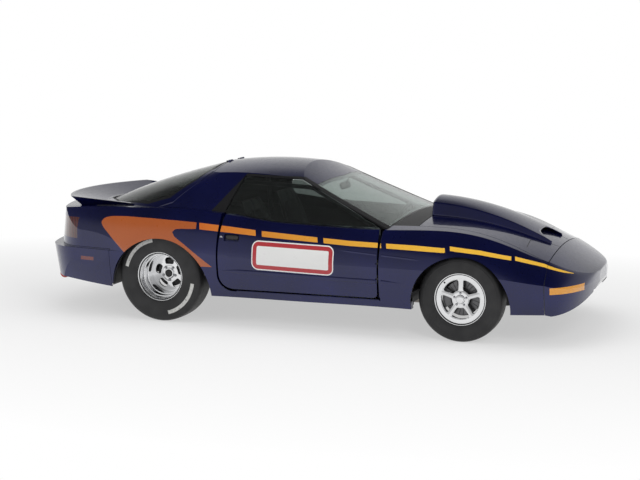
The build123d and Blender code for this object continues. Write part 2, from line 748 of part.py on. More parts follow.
def spoiler_outline(rear_in, side_in, front_x, z):
    """The spoiler's outline in plan: straight sides and a tail that is swept round."""
    half_w = SPOILER_HALF_W - side_in
    corner_x = SPOILER_CORNER_X + rear_in
    tail_x = SPOILER_TAIL_X + rear_in
    edges = [
        Line((front_x, -half_w, z), (corner_x, -half_w, z)),
        ThreePointArc((corner_x, -half_w, z), (tail_x, 0, z), (corner_x, half_w, z)),
        Line((corner_x, half_w, z), (front_x, half_w, z)),
        Line((front_x, half_w, z), (front_x, -half_w, z)),
    ]
    return Face(Wire(edges))


def spoiler():
    """A hoop round the deck: undercut outside, a sloped bowl inside, and arms that fall to the front."""
    foot = spoiler_outline(SPOILER_FOOT_IN, SPOILER_FOOT_IN, SPOILER_FRONT_X, SPOILER_FOOT_Z)
    rim = spoiler_outline(0, 0, SPOILER_FRONT_X, SPOILER_RIM_Z)
    bowl_floor = spoiler_outline(BOWL_REAR_IN, BOWL_SIDE_IN, SPOILER_ARM_X, BOWL_Z)
    bowl_mouth = spoiler_outline(SPOILER_RIM, SPOILER_RIM, SPOILER_ARM_X, SPOILER_RIM_Z + BOWL_OVER)
    hoop = loft([foot, rim]) - loft([bowl_floor, bowl_mouth])
    arm_top = [
        (SPOILER_CORNER_X, SPOILER_RIM_Z),
        (SPOILER_ARM_X, SPOILER_FRONT_Z),
        (SPOILER_ARM_X, HIGH_UP),
        (SPOILER_CORNER_X, HIGH_UP),
    ]
    return hoop - side_prism(arm_top, -FAR_OUT, FAR_OUT) - OUTER - CABIN


def unibody():
    """Floor, tunnel, firewall, rails, wheel tubs and the brackets that carry the skins."""
    rear_top_z = REAR_FLOOR_Z + REAR_FLOOR_T
    bulkhead_x = REAR_FLOOR_X + BULKHEAD_T
    tunnel_in = TUNNEL_HALF_W - TUNNEL_WALL
    floor = block(REAR_FLOOR_X, FIREWALL_X, -FAR_OUT, FAR_OUT, FLOOR_Z, FLOOR_Z + FLOOR_T)
    floor += block(REAR_FLOOR_X, FIREWALL_X, -TUNNEL_HALF_W, TUNNEL_HALF_W, FLOOR_Z, TUNNEL_Z)
    wall = BULKHEAD_HALF_W
    floor += block(FIREWALL_X - FIREWALL_T, FIREWALL_X, -wall, wall, FLOOR_Z, FIREWALL_TOP_Z)
    floor += block(REAR_FLOOR_X, bulkhead_x, -wall, wall, FLOOR_Z, rear_top_z)
    floor -= block(RA, FA, -tunnel_in, tunnel_in, 0, TUNNEL_Z - TUNNEL_WALL)
    floor &= UNDER_DOOR
    rear = block(REAR_FLOOR_END_X, bulkhead_x, -FAR_OUT, FAR_OUT, REAR_FLOOR_Z, rear_top_z)
    beam_x = REAR_FLOOR_END_X + TAIL_BEAM_T
    rear += block(REAR_FLOOR_END_X, beam_x, -FAR_OUT, FAR_OUT, TAIL_BEAM_Z, REAR_FLOOR_Z)
    for side in (-1, 1):
        out = side * FAR_OUT
        rail_in = side * RAIL_IN_Y
        rail_out = side * RAIL_OUT_Y
        rear += block(RA - TUB_HALF_L, RA + TUB_HALF_L, side * TUB_IN_Y, out, TUB_LOW_Z, TUB_TOP_Z)
        hollow = TUB_HALF_L - TUB_WALL
        hollow_in = side * (TUB_IN_Y + TUB_WALL)
        rear -= block(RA - hollow, RA + hollow, hollow_in, out, 0, TUB_TOP_Z - TUB_WALL)
        rear += block(FIREWALL_X, RAIL_END_X, rail_in, rail_out, *RAIL_Z)
        for x in BRACE_X:
            rear += block(x, x + BRACE_T, rail_in, out, *BRACE_Z)
        sill_in, sill_out = (side * y for y in SILL_Y)
        rear += block(REAR_FLOOR_X, FIREWALL_X, sill_in, sill_out, FLOOR_Z - SILL_DEPTH, FLOOR_Z)
        pad_in = side * JACK_PAD_Y - JACK_PAD_HALF_W
        pad_out = side * JACK_PAD_Y + JACK_PAD_HALF_W
        for x in JACK_PAD_X:
            rear += block(x, x + JACK_PAD, pad_in, pad_out, JACK_PAD_Z, FLOOR_Z - SILL_DEPTH)
    rear &= UNDER_SKIN
    frame = floor + rear
    cross_x = (FA - CROSSMEMBER_HALF_L, FA + CROSSMEMBER_HALF_L)
    frame += block(*cross_x, -RAIL_OUT_Y, RAIL_OUT_Y, CROSSMEMBER_Z, CROSSMEMBER_TOP_Z)
    hood_seat = body_form(HOOD_SKIN + SEAT_FIT)
    for side in (-1, 1):
        post_in = side * (RAIL_IN_Y + HOOD_POST_IN)
        post_out = side * (RAIL_OUT_Y - HOOD_POST_IN)
        for x in HOOD_POST_X:
            frame += block(x, x + HOOD_POST, post_in, post_out, RAIL_Z[1], HIGH_UP) & hood_seat
        frame += block(*cross_x, side * RAIL_IN_Y, side * RAIL_OUT_Y, CROSSMEMBER_Z, TOWER_TOP_Z)
        mount_in, mount_out = (side * y for y in MOUNT_Y)
        frame += block(*MOUNT_X, mount_in, mount_out, CROSSMEMBER_TOP_Z, ENGINE_BOTTOM_Z)
    frame += block(*RADIATOR_X, -RAIL_OUT_Y, RAIL_OUT_Y, *RADIATOR_Z)
    return frame


# Engine and drive line
ENGINE_REAR_X = FA - 380.0
CASE_FRONT_X = FA + 160.0
CASE_HALF_W = 150.0
CASE_DEPTH = 40.0
CASE_TOP_Z = 560.0
CASE_RELIEF = 75.0
FOOT_HALF_W = 250.0
FOOT_TOP_Z = 420.0
BANK_FRONT_X = FA + 140.0
BANK_Y = 165.0
BANK_Z = 590.0
BANK_W = 190.0
BANK_H = 260.0
BANK_TURN = 45.0
INTAKE_MANIFOLD_X = (ENGINE_REAR_X + 60.0, FA + 100.0)
INTAKE_MANIFOLD_HALF_W = 130.0
INTAKE_MANIFOLD_TOP_Z = 740.0
BELL_L = 160.0
BELL_R = 130.0
GEARBOX_R = 95.0
GEARBOX_REAR_X = FA - 950.0
DIFF_FRONT_X = RA + 160.0
DIFF_HALF_W = 110.0
DIFF_NOSE_R = 70.0
AXLE_STUB_OUT = 20.0
LINK_Y = (430.0, 470.0)
LINK_HALF_H = 30.0


def engine_block():
    """A vee engine: crankcase, two banks and an intake, closed inside."""
    case_z = (ENGINE_BOTTOM_Z - CASE_DEPTH, CASE_TOP_Z)
    case = block(ENGINE_REAR_X, CASE_FRONT_X, -CASE_HALF_W, CASE_HALF_W, *case_z)
    case -= block(FA - CASE_RELIEF, FA + CASE_RELIEF, -FOOT_HALF_W, FOOT_HALF_W, 0, ENGINE_BOTTOM_Z)
    case += block(*MOUNT_X, -FOOT_HALF_W, FOOT_HALF_W, ENGINE_BOTTOM_Z, FOOT_TOP_Z)
    half_w = INTAKE_MANIFOLD_HALF_W
    case += block(*INTAKE_MANIFOLD_X, -half_w, half_w, CASE_TOP_Z, INTAKE_MANIFOLD_TOP_Z)
    bank_place = Pos((ENGINE_REAR_X + BANK_FRONT_X) / 2, -BANK_Y, BANK_Z) * Rot(BANK_TURN, 0, 0)
    bank = bank_place * Box(BANK_FRONT_X - ENGINE_REAR_X, BANK_W, BANK_H)
    return case + bank + mirror(bank, about=Plane.XZ)


def gearbox():
    bell_end = (ENGINE_REAR_X - BELL_L, 0, DRIVE_Z)
    bell = rod((ENGINE_REAR_X, 0, DRIVE_Z), bell_end, BELL_R)
    return bell + rod(bell_end, (GEARBOX_REAR_X, 0, DRIVE_Z), GEARBOX_R)


def driveshaft():
    return rod((GEARBOX_REAR_X, 0, DRIVE_Z), (DIFF_FRONT_X, 0, REAR_TYRE_R), SHAFT_R)


def rear_axle():
    """Axle housing with its stubs, the differential and two trailing links."""
    stub_end = REAR_TRACK_Y + AXLE_STUB_OUT
    axle = cross_cylinder(RA, -TUB_IN_Y, TUB_IN_Y, REAR_TYRE_R, AXLE_TUBE_R)
    axle += cross_cylinder(RA, -stub_end, stub_end, REAR_TYRE_R, AXLE_STUB_R)
    axle += cross_cylinder(RA, -DIFF_HALF_W, DIFF_HALF_W, REAR_TYRE_R, DIFF_R)
    axle += rod((RA, 0, REAR_TYRE_R), (DIFF_FRONT_X, 0, REAR_TYRE_R), DIFF_NOSE_R)
    link_z = (REAR_TYRE_R - LINK_HALF_H, REAR_TYRE_R + LINK_HALF_H)
    for side in (-1, 1):
        link_in, link_out = (side * y for y in LINK_Y)
        axle += block(RA, REAR_FLOOR_X, link_in, link_out, *link_z)
    return axle


# Front suspension
ARM_HALF_W = 25.0
ARM_HALF_T = 12.0
ARM_END = 15.0
KINGPIN_L = 45.0
KNUCKLE_R = 28.0
KNUCKLE_BORE_L = 72.0
SPINDLE_OUT = 40.0


def front_arms():
    """Upper and lower arms with the upright pins that carry the knuckles."""
    arms = []
    for side in (-1, 1):
        arm_in = side * RAIL_OUT_Y
        arm_out = side * (KINGPIN_Y + ARM_END)
        for z, pin_z in ((ARM_LOW_Z, ARM_LOW_Z + KINGPIN_L), (ARM_HIGH_Z, ARM_HIGH_Z - KINGPIN_L)):
            arm = block(FA - ARM_HALF_W, FA + ARM_HALF_W, arm_in, arm_out, z - ARM_HALF_T, z + ARM_HALF_T)
            arms.append(arm + Pos(FA, side * KINGPIN_Y, (z + pin_z) / 2) * Cylinder(KINGPIN_R, KINGPIN_L))
    return Compound(children=arms)


def knuckle():
    low = ARM_LOW_Z + ARM_HALF_T + SEAT_FIT
    high = ARM_HIGH_Z - ARM_HALF_T - SEAT_FIT
    post = Pos(FA, -KINGPIN_Y, (low + high) / 2) * Cylinder(KNUCKLE_R, high - low)
    post += cross_cylinder(FA, -KINGPIN_Y, -FRONT_TRACK_Y - SPINDLE_OUT, FRONT_TYRE_R, SPINDLE_R)
    for z in (low, high):
        post -= Pos(FA, -KINGPIN_Y, z) * Cylinder(KINGPIN_R + RUNNING_FIT, KNUCKLE_BORE_L)
    return post


# Tyre section: how far the beads sit in, the height of the sidewall's foot, and the shoulder
BEAD_IN = 22.0
SIDEWALL_FOOT = 55.0
LIP_ROOM = 2.0
SHOULDER_H = 45.0
SHOULDER_MID_IN = 22.0
SHOULDER_MID_DROP = 6.0
SHOULDER_IN = 45.0

# Rim face: web and hub thickness, and its five windows
SPOKE_WINDOWS = 5
WEB_T = 22.0
WEB_FOOT = 2.0
HUB_T = 40.0
HUB_R = 80.0
WINDOW_RING_R = 128.0
WINDOW_SIZE = (88.0, 66.0)
WINDOW_CORNER_R = 24.0
FRONT_FACE = -40.0
REAR_FACE = 10.0
DISC_T = 12.0
DISC_ROOM = 4.0


def wheel_profile(points, radius_axis_x, radius_axis_z):
    """A ring turned about the wheel's axle from (offset along the axle, radius) points."""
    outline = Polyline(*[(radius_axis_x, y, radius_axis_z + r) for y, r in points], close=True)
    axis = Axis((radius_axis_x, 0, radius_axis_z), (0, 1, 0))
    return revolve(make_face(outline), axis=axis)


def tyre(x, track_y, radius, width):
    """A right-hand tyre: bead, sidewalls and flat tread."""
    half = width / 2
    bead = BEAD_R + SEAT_FIT
    rim_half = half - BEAD_IN
    foot = RIM_LIP_R + SIDEWALL_FOOT
    outer = [
        (-rim_half, bead),
        (-rim_half, RIM_LIP_R + LIP_ROOM),
        (-half, foot),
        (-half, radius - SHOULDER_H),
        (-half + SHOULDER_MID_IN, radius - SHOULDER_MID_DROP),
        (-half + SHOULDER_IN, radius),
    ]
    inner = [(-y, r) for y, r in reversed(outer)]
    return wheel_profile([(y - track_y, r) for y, r in outer + inner], x, radius)


def rim(x, track_y, axle_z, width, face, bore):
    """A right-hand rim: barrel with lips, and a spoked face set in from the outer lip."""
    half = width / 2 - BEAD_IN
    outer = -half - RIM_WALL - SEAT_FIT
    inner = half + RIM_WALL + SEAT_FIT
    wall = BEAD_R - RIM_WALL
    barrel = [
        (outer, wall), (outer, RIM_LIP_R), (outer + RIM_WALL, RIM_LIP_R), (outer + RIM_WALL, BEAD_R),
        (inner - RIM_WALL, BEAD_R), (inner - RIM_WALL, RIM_LIP_R), (inner, RIM_LIP_R), (inner, wall),
    ]
    shape = wheel_profile([(y - track_y, r) for y, r in barrel], x, axle_z)
    foot = wall + WEB_FOOT
    web = [
        (face, bore), (face, foot), (face + WEB_T, foot),
        (face + WEB_T, HUB_R), (face + HUB_T, HUB_R), (face + HUB_T, bore),
    ]
    shape += wheel_profile([(y - track_y, r) for y, r in web], x, axle_z)
    cutter = extrude(RectangleRounded(*WINDOW_SIZE, WINDOW_CORNER_R), HUB_T, both=True)
    for index in range(SPOKE_WINDOWS):
        turn = 360 / SPOKE_WINDOWS * index
        place = Pos(x, face - track_y, axle_z) * Rot(0, turn, 0) * Pos(0, 0, WINDOW_RING_R) * Rot(90, 0, 0)
        shape -= place * cutter
    return shape


def brake_disc():
    hub = FRONT_FACE + HUB_T
    bore = SPINDLE_R + DISC_ROOM
    points = [(hub, bore), (hub, DISC_R), (hub + DISC_T, DISC_R), (hub + DISC_T, bore)]
    return wheel_profile([(y - FRONT_TRACK_Y, r) for y, r in points], FA, FRONT_TYRE_R)


# Seat and its bolsters from the side: distance ahead of SEAT_X, height over the floor
SEAT_X = RA + 640.0
SEAT_Y = 385.0
SEAT_HALF_W = 190.0
BOLSTER_W = 40.0
SEAT_PROFILE = [
    (560, 0),
    (600, 130),
    (560, 190),
    (200, 140),
    (20, 720),
    (-70, 720),
    (80, 60),
    (120, 0),
]
BOLSTER_PROFILE = [
    (540, 120),
    (540, 250),
    (260, 260),
    (110, 640),
    (-10, 640),
    (130, 80),
]


def seat():
    """A one-piece racing bucket with side bolsters, on the floor."""
    low = FLOOR_Z + FLOOR_T
    profile = [(SEAT_X + ahead, low + height) for ahead, height in SEAT_PROFILE]
    bolster = [(SEAT_X + ahead, low + height) for ahead, height in BOLSTER_PROFILE]
    shape = side_prism(profile, -SEAT_Y - SEAT_HALF_W, -SEAT_Y + SEAT_HALF_W)
    for y in (-SEAT_Y - SEAT_HALF_W - BOLSTER_W, -SEAT_Y + SEAT_HALF_W):
        shape += side_prism(bolster, y, y + BOLSTER_W)
    return shape


# Dashboard from the side: distance behind the firewall's face, height
DASH_HALF_W = 610.0
DASH_PROFILE = [
    (0, 560),
    (0, 795),
    (190, 800),
    (260, 760),
    (230, 640),
    (120, 560),
]


def dashboard():
    front = FIREWALL_X - FIREWALL_T
    return side_prism([(front - behind, z) for behind, z in DASH_PROFILE], -DASH_HALF_W, DASH_HALF_W)


# Steering wheel
WHEEL_HUB = (FIREWALL_X - 420.0, SEAT_Y, 745.0)
COLUMN_END = (FIREWALL_X - 240.0, SEAT_Y, 690.0)
COLUMN_R = 22.0
WHEEL_R = 165.0
WHEEL_GRIP_R = 14.0
WHEEL_BOSS_R = 40.0
WHEEL_BOSS_T = 30.0
SPOKE_TURNS = (90, 210, 330)
SPOKE_MID_R = 95.0
SPOKE_L = 130.0
SPOKE_W = 30.0
SPOKE_T = 10.0


def steering_wheel():
    """A three-spoke wheel on the end of its column."""
    along = Vector(*WHEEL_HUB) - Vector(*COLUMN_END)
    face = Plane(origin=WHEEL_HUB, z_dir=along)
    wheel = face * Torus(WHEEL_R, WHEEL_GRIP_R)
    wheel += face * Cylinder(WHEEL_BOSS_R, WHEEL_BOSS_T)
    for turn in SPOKE_TURNS:
        wheel += face * Rot(0, 0, turn) * Pos(SPOKE_MID_R, 0, 0) * Box(SPOKE_L, SPOKE_W, SPOKE_T)
    return wheel + (rod(COLUMN_END, WHEEL_HUB, COLUMN_R) - dashboard())


# Roll cage
CAGE_R = 20.0
CAGE_BRACE_R = 18.0
CAGE_BEND_R = 100.0
CAGE_END_TRIM = 2.3
HOOP_X = RA + 430.0
HOOP_TOP_Z = 1150.0
HOOP_TOP_Y = 470.0
HOOP_FOOT_Y = 535.0
HOOP_KNEE_Z = 820.0
HOOP_BRACE_Z = 740.0
CAGE_FRONT_X = FA - 1340.0
CAGE_FRONT_Z = 1125.0
CAGE_LEG_X = FA - 715.0
CAGE_LEG_Y = 665.0
CAGE_KNEE_Z = 830.0
CAGE_ROOF_IN = 100.0


def bent_tube(points, radius):
    """A round bar along straight runs joined by bends."""
    path = FilletPolyline(*points, radius=CAGE_BEND_R)
    return sweep(Plane(origin=path @ 0, z_dir=path % 0) * Circle(radius), path=path)


def roll_cage():
    """A bent main hoop with its brace, and on each side one tube along the roof and down the pillar."""
    rear_floor = REAR_FLOOR_Z + REAR_FLOOR_T
    right = [
        (HOOP_X, -HOOP_FOOT_Y, rear_floor),
        (HOOP_X, -HOOP_FOOT_Y, HOOP_KNEE_Z),
        (HOOP_X, -HOOP_TOP_Y, HOOP_TOP_Z),
    ]
    left = [(x, -y, z) for x, y, z in reversed(right)]
    tubes = [bent_tube(right + left, CAGE_R)]
    brace_end = HOOP_FOOT_Y - CAGE_R - SEAT_FIT
    tubes.append(rod((HOOP_X, -brace_end, HOOP_BRACE_Z), (HOOP_X, brace_end, HOOP_BRACE_Z), CAGE_BRACE_R))
    for side in (-1, 1):
        route = [
            (HOOP_X + CAGE_R + CAGE_END_TRIM, side * (HOOP_TOP_Y - CAGE_ROOF_IN), HOOP_TOP_Z),
            (CAGE_FRONT_X, side * HOOP_TOP_Y, CAGE_FRONT_Z),
            (CAGE_LEG_X, side * CAGE_LEG_Y, CAGE_KNEE_Z),
            (CAGE_LEG_X, side * CAGE_LEG_Y, FLOOR_Z + FLOOR_T),
        ]
        tubes.append(bent_tube(route, CAGE_BRACE_R))
    return Compound(children=tubes)


# Exhaust
PIPE_X = (FA - 430.0, RA + 700.0)
PIPE_Y = 260.0
PIPE_Z = 215.0
PIPE_R = 36.0
HANGER_X = (FA - 520.0, RA + 760.0)
HANGER_W = 30.0
HANGER_HALF_T = 10.0


def exhaust():
    """Two collector pipes under the floor on hangers."""
    front, rear = PIPE_X
    pipe = rod((front, -PIPE_Y, PIPE_Z), (rear, -PIPE_Y, PIPE_Z), PIPE_R)
    for x in HANGER_X:
        pipe += block(x, x + HANGER_W, -PIPE_Y - HANGER_HALF_T, -PIPE_Y + HANGER_HALF_T, PIPE_Z, FLOOR_Z)
    return both(pipe)


def wheelie_bar():
    """Two bars from sleeves on the axle housing back to a cross axle behind the bumper."""
    end = WHEELIE_Y + WHEELIE_W
    bars = cross_cylinder(WHEELIE_X, -end, end, WHEELIE_Z, WHEELIE_AXLE_R)
    for side in (-1, 1):
        y = side * WHEELIE_BAR_Y
        sleeve_r = AXLE_TUBE_R + SLEEVE_WALL
        bars += cross_cylinder(RA, y - SLEEVE_HALF_W, y + SLEEVE_HALF_W, REAR_TYRE_R, sleeve_r)
        root = (RA - SLEEVE_ROOT, y, REAR_TYRE_R - SLEEVE_ROOT)
        bars += rod(root, (WHEELIE_X, y, WHEELIE_Z), WHEELIE_BAR_R)
    return bars - cross_cylinder(RA, -FAR_OUT, FAR_OUT, REAR_TYRE_R, AXLE_TUBE_R + SEAT_FIT)


def wheelie_wheel():
    """A roller near each end of the cross axle."""
    half = WHEELIE_W / 2
    roller = cross_cylinder(WHEELIE_X, -WHEELIE_Y - half, -WHEELIE_Y + half, WHEELIE_Z, WHEELIE_R)
    bore = cross_cylinder(WHEELIE_X, -FAR_OUT, 0, WHEELIE_Z, WHEELIE_AXLE_R + RUNNING_FIT)
    return both(roller - bore)


def save(name, shape):
    """Write one sub-part."""
    export_step(shape, os.path.join("parts", name + ".step"))


def save_pair(name, right):
    """Write a right-hand sub-part and its mirror image."""
    save(name + "_right", right)
    save(name + "_left", mirror(right, about=Plane.XZ))


os.makedirs("parts", exist_ok=True)
SINGLES = {
    "unibody": unibody, "hood": hood, "hood_scoop": hood_scoop, "cowl": cowl,
    "front_fascia": front_fascia, "front_markers": front_markers, "rear_fascia": rear_fascia,
    "rear_markers": rear_markers, "tail_lamps": tail_lamps, "roof_frame": roof_frame,
    "windshield": windshield, "hatch": hatch, "hatch_glass": hatch_glass, "spoiler": spoiler,
    "door_hinges": door_hinges, "engine_block": engine_block, "gearbox": gearbox,
    "driveshaft": driveshaft, "rear_axle": rear_axle, "front_arms": front_arms,
    "dashboard": dashboard, "steering_wheel": steering_wheel, "roll_cage": roll_cage,
    "exhaust": exhaust, "wheelie_bar": wheelie_bar, "wheelie_wheel": wheelie_wheel,
}
PAIRS = {
    "front_fender": front_fender, "quarter_panel": quarter_panel, "rocker": rocker, "door": door,
    "door_glass": door_glass, "knuckle": knuckle, "brake_disc": brake_disc, "seat": seat,
}
for node, make in SINGLES.items():
    save(node, make())
for node, make in PAIRS.items():
    save_pair(node, make())
FRONT_WHEEL = (FA, FRONT_TRACK_Y, FRONT_TYRE_R, FRONT_TYRE_W)
REAR_WHEEL = (RA, REAR_TRACK_Y, REAR_TYRE_R, REAR_TYRE_W)
save_pair("front_tyre", tyre(*FRONT_WHEEL))
save_pair("rear_tyre", tyre(*REAR_WHEEL))
save_pair("front_rim", rim(*FRONT_WHEEL, FRONT_FACE, SPINDLE_R + RUNNING_FIT))
save_pair("rear_rim", rim(*REAR_WHEEL, REAR_FACE, AXLE_STUB_R + RUNNING_FIT))
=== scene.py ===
import bmesh
import bpy
import math
import numpy as np
from functools import partialmethod
from mathutils import Matrix, Vector


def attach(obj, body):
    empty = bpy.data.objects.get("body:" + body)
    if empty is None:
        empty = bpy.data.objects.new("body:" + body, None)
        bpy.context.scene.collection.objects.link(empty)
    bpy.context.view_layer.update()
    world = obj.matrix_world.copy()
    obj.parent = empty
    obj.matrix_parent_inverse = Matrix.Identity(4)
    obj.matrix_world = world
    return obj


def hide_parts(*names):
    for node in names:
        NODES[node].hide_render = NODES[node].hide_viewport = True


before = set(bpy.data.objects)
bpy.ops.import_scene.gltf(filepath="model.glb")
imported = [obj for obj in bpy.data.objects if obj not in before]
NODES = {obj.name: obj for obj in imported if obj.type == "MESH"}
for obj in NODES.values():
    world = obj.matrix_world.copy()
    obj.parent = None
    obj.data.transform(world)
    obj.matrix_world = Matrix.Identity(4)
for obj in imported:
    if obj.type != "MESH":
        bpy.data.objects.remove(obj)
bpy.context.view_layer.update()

# The photograph's frame and the camera that was solved from the wheels, roof and spoiler
PHOTO_W = 640.0
CAMERA_PLACE = (4.101, -11.0, 2.393)
CAMERA_YAW = -0.359
CAMERA_PITCH = 0.150
CAMERA_ROLL = -0.007
CAMERA_FOCAL_PX = 1379.4
SENSOR_MM = 36.0

# Axle centres: x, distance of the track plane from the middle, z
FRONT_AXLE = (1.434, 0.750, 0.338)
REAR_AXLE = (-1.134, 0.747, 0.382)
SIDES = (("right", -1.0), ("left", 1.0))
SPOKES = 5

# Studio levels: light from all round, and how bright a mirrored wall is by its rise, up to a dark ceiling
AMBIENT = 0.46
MIRRORED_WALL = ((0.0, 0.85), (0.14, 0.60), (0.50, 0.52), (0.64, 0.05), (1.0, 0.04))

# Paint colours
NAVY = (0.0014, 0.0030, 0.042, 1.0)
NAVY_FLAKE = (0.005, 0.009, 0.120, 1.0)
STRIPE_ORANGE = (0.58, 0.135, 0.016, 1.0)
STRIPE_YELLOW = (0.88, 0.50, 0.045, 1.0)
FLARE_ORANGE = (0.36, 0.078, 0.016, 1.0)
FLARE_PALE = (0.44, 0.105, 0.020, 1.0)
SIGN_RED = (0.42, 0.016, 0.024, 1.0)
SIGN_WHITE = (0.80, 0.80, 0.79, 1.0)
TRIM_BLACK = (0.007, 0.007, 0.008, 1.0)

# Rubber colours, and counts of ribs, threads, grooves and ticks
RUBBER_DARK = (0.016, 0.016, 0.017, 1.0)
RUBBER_PALE = (0.027, 0.027, 0.028, 1.0)
RUBBER_DUST = (0.045, 0.044, 0.043, 1.0)
ARC_WHITE = (0.62, 0.62, 0.60, 1.0)
SIDEWALL_LINES = 420.0
THREADS = 1900.0
DISC_GROOVES = 24.0
DIAL_TICKS = 40.0

# Stripe along the sides, as (x, z) in metres from the tail end to the tip on the nose
STRIPE_TOP = ((-0.80, 0.853), (-0.744, 0.850), (-0.485, 0.831), (-0.204, 0.806), (0.041, 0.791),
              (0.272, 0.777), (0.55, 0.762), (0.84, 0.755), (1.084, 0.751), (1.316, 0.741), (1.345, 0.757),
              (1.591, 0.732), (1.821, 0.690), (1.848, 0.689), (2.064, 0.630), (2.202, 0.574),
              (2.262, 0.549), (2.30, 0.535))
STRIPE_FOOT = ((-0.80, 0.802), (-0.733, 0.799), (-0.474, 0.783), (-0.194, 0.763), (0.049, 0.750),
               (0.279, 0.739), (0.557, 0.724), (0.846, 0.719), (1.09, 0.713), (1.321, 0.707),
               (1.350, 0.725), (1.596, 0.701), (1.827, 0.663), (1.854, 0.662), (2.072, 0.609),
               (2.207, 0.562), (2.263, 0.546), (2.30, 0.545))
STRIPE_BREAKS = ((-0.2515, -0.199), (0.275, 0.325), (0.800, 0.842), (1.312, 1.352), (1.800, 1.826))
STRIPE_LEAN = 0.25
STRIPE_LEVEL = 0.78
STRIPE_START = -0.741
STRIPE_END = 2.262

# Flare on the rear quarter: its top by x, and its rear and front edges by z
FLARE_TOP = ((-1.70, 0.868), (-1.56, 0.870), (-1.447, 0.874), (-1.219, 0.869), (-0.983, 0.861),
             (-0.70, 0.848))
FLARE_REAR = ((0.50, -1.330), (0.648, -1.494), (0.725, -1.581), (0.780, -1.648), (0.802, -1.668),
              (0.818, -1.675), (0.834, -1.670), (0.848, -1.657), (0.858, -1.636), (0.865, -1.605),
              (0.870, -1.560), (0.90, -1.40))
FLARE_FRONT = ((0.50, -0.62), (0.60, -0.76), (0.676, -0.870), (0.734, -0.963), (0.770, -0.987),
               (0.793, -0.964), (0.799, -0.90), (0.8005, -0.778), (0.90, -0.788))

# Blank door sign: middle, half sizes, corner radius, tilt, and how far in its band and field begin
SIGN_MIDDLE = (0.080, 0.609)
SIGN_HALF = (0.350, 0.1175)
SIGN_CORNER = 0.055
SIGN_TILT = -0.0243
SIGN_EDGE = 0.009
SIGN_BAND = 0.042

# Black round the side windows: the roof's side line and the sail's front line, each as a point and a slope
ROOF_LINE_X = -0.494
ROOF_LINE_Z = 1.236
ROOF_LINE_FALL = 0.03
SAIL_FOOT_X = -0.70
SAIL_FOOT_Z = 0.942
SAIL_LEAN = 0.825
FRAME_IN_Y = 0.40

# Black pillars beside the windscreen: the glass's edge at its top, and the roof's front line
SCREEN_TOP = (0.159, 0.538)
SCREEN_SPREAD = 0.248
PILLAR_TOP_Z = 1.2225
PILLAR_FALL = 0.12

# Black border printed round the rear window
BORDER_WIDE = 0.025
BORDER_REAR_X = -1.945
BORDER_FRONT_X = -0.815

# Faces that look down or inwards by more than these are the black lining
LINING_DOWN = -0.2
LINING_IN = -0.35
OUTER_FACE = 0.05

# Rear window's half width by x, which the black border of the hatch follows
REAR_WINDOW = ((-1.96, 0.05), (-1.914, 0.200), (-1.654, 0.545), (-1.314, 0.675), (-1.114, 0.650),
               (-0.929, 0.515), (-0.844, 0.405), (-0.80, 0.34))


def photo_camera():
    """A camera at the photograph's place: forward from yaw and pitch, then a small roll."""
    yaw, pitch, roll = CAMERA_YAW, CAMERA_PITCH, CAMERA_ROLL
    forward = Vector((math.sin(yaw) * math.cos(pitch), math.cos(yaw) * math.cos(pitch), -math.sin(pitch)))
    level_right = forward.cross(Vector((0, 0, 1))).normalized()
    level_up = level_right.cross(forward)
    right = level_right * math.cos(roll) + level_up * math.sin(roll)
    up = level_up * math.cos(roll) - level_right * math.sin(roll)
    data = bpy.data.cameras.new("photo_camera")
    data.sensor_width = SENSOR_MM
    data.lens = CAMERA_FOCAL_PX / PHOTO_W * SENSOR_MM
    data.clip_end = 200.0
    camera = bpy.data.objects.new("photo_camera", data)
    turn = Matrix((right, up, -forward)).transposed().to_4x4()
    camera.matrix_world = Matrix.Translation(CAMERA_PLACE) @ turn
    bpy.context.scene.collection.objects.link(camera)
    bpy.context.scene.camera = camera


# Surfaces worked out as arrays

def grid(points):
    """A grid of points (rows, columns, 3) as vertices, quads between neighbours, and UV from 0 to 1."""
    rows, columns = points.shape[:2]
    r, c = np.meshgrid(np.arange(rows - 1), np.arange(columns - 1), indexing="ij")
    first = (r * columns + c).ravel()
    quads = np.stack([first, first + 1, first + columns + 1, first + columns], 1)
    v, u = np.meshgrid(np.linspace(0, 1, rows), np.linspace(0, 1, columns), indexing="ij")
    return points.reshape(-1, 3), quads, np.stack([u.ravel(), v.ravel()], 1)


def smooth(knots, per_span):
    """A Catmull-Rom line through the knots: each span blends its four nearest knots with cubic weights."""
    k = np.asarray(knots, float)
    k = np.concatenate([[2 * k[0] - k[1]], k, [2 * k[-1] - k[-2]]])
    t = np.linspace(0, 1, per_span, endpoint=False)[:, None]
    weights = [-t + 2 * t**2 - t**3, 2 - 5 * t**2 + 3 * t**3, t + 4 * t**2 - 3 * t**3, -t**2 + t**3]
    spans = np.stack([k[:-3], k[1:-2], k[2:-1], k[3:]], 1)
    line = np.einsum("tk,nkd->ntd", 0.5 * np.concatenate(weights, 1), spans).reshape(-1, k.shape[1])
    return np.concatenate([line, k[-2:-1]])


def at_wheel(axle, side, out, radius, angle):
    """Wheel coordinates to the frame: out along the axle from the track plane, radius and angle round it."""
    x = axle[0] + radius * np.cos(angle)
    y = side * (axle[1] + out)
    z = axle[2] + radius * np.sin(angle)
    return np.stack(np.broadcast_arrays(x, y, z), -1)


def turned(profile, axle, side, steps=128):
    """A profile of (out, radius) rows carried once round the axle."""
    out, radius = np.asarray(profile, float).T
    angle = np.linspace(0, 2 * np.pi, steps + 1)
    return grid(at_wheel(axle, side, out[:, None], radius[:, None], angle[None, :]))


def closed(path, ring):
    """Rings along a path with both ends drawn to the path's end points."""
    count = ring.shape[1]
    first = np.repeat(path[None, :1], count, 1)
    last = np.repeat(path[None, -1:], count, 1)
    return np.concatenate([first, ring, last])


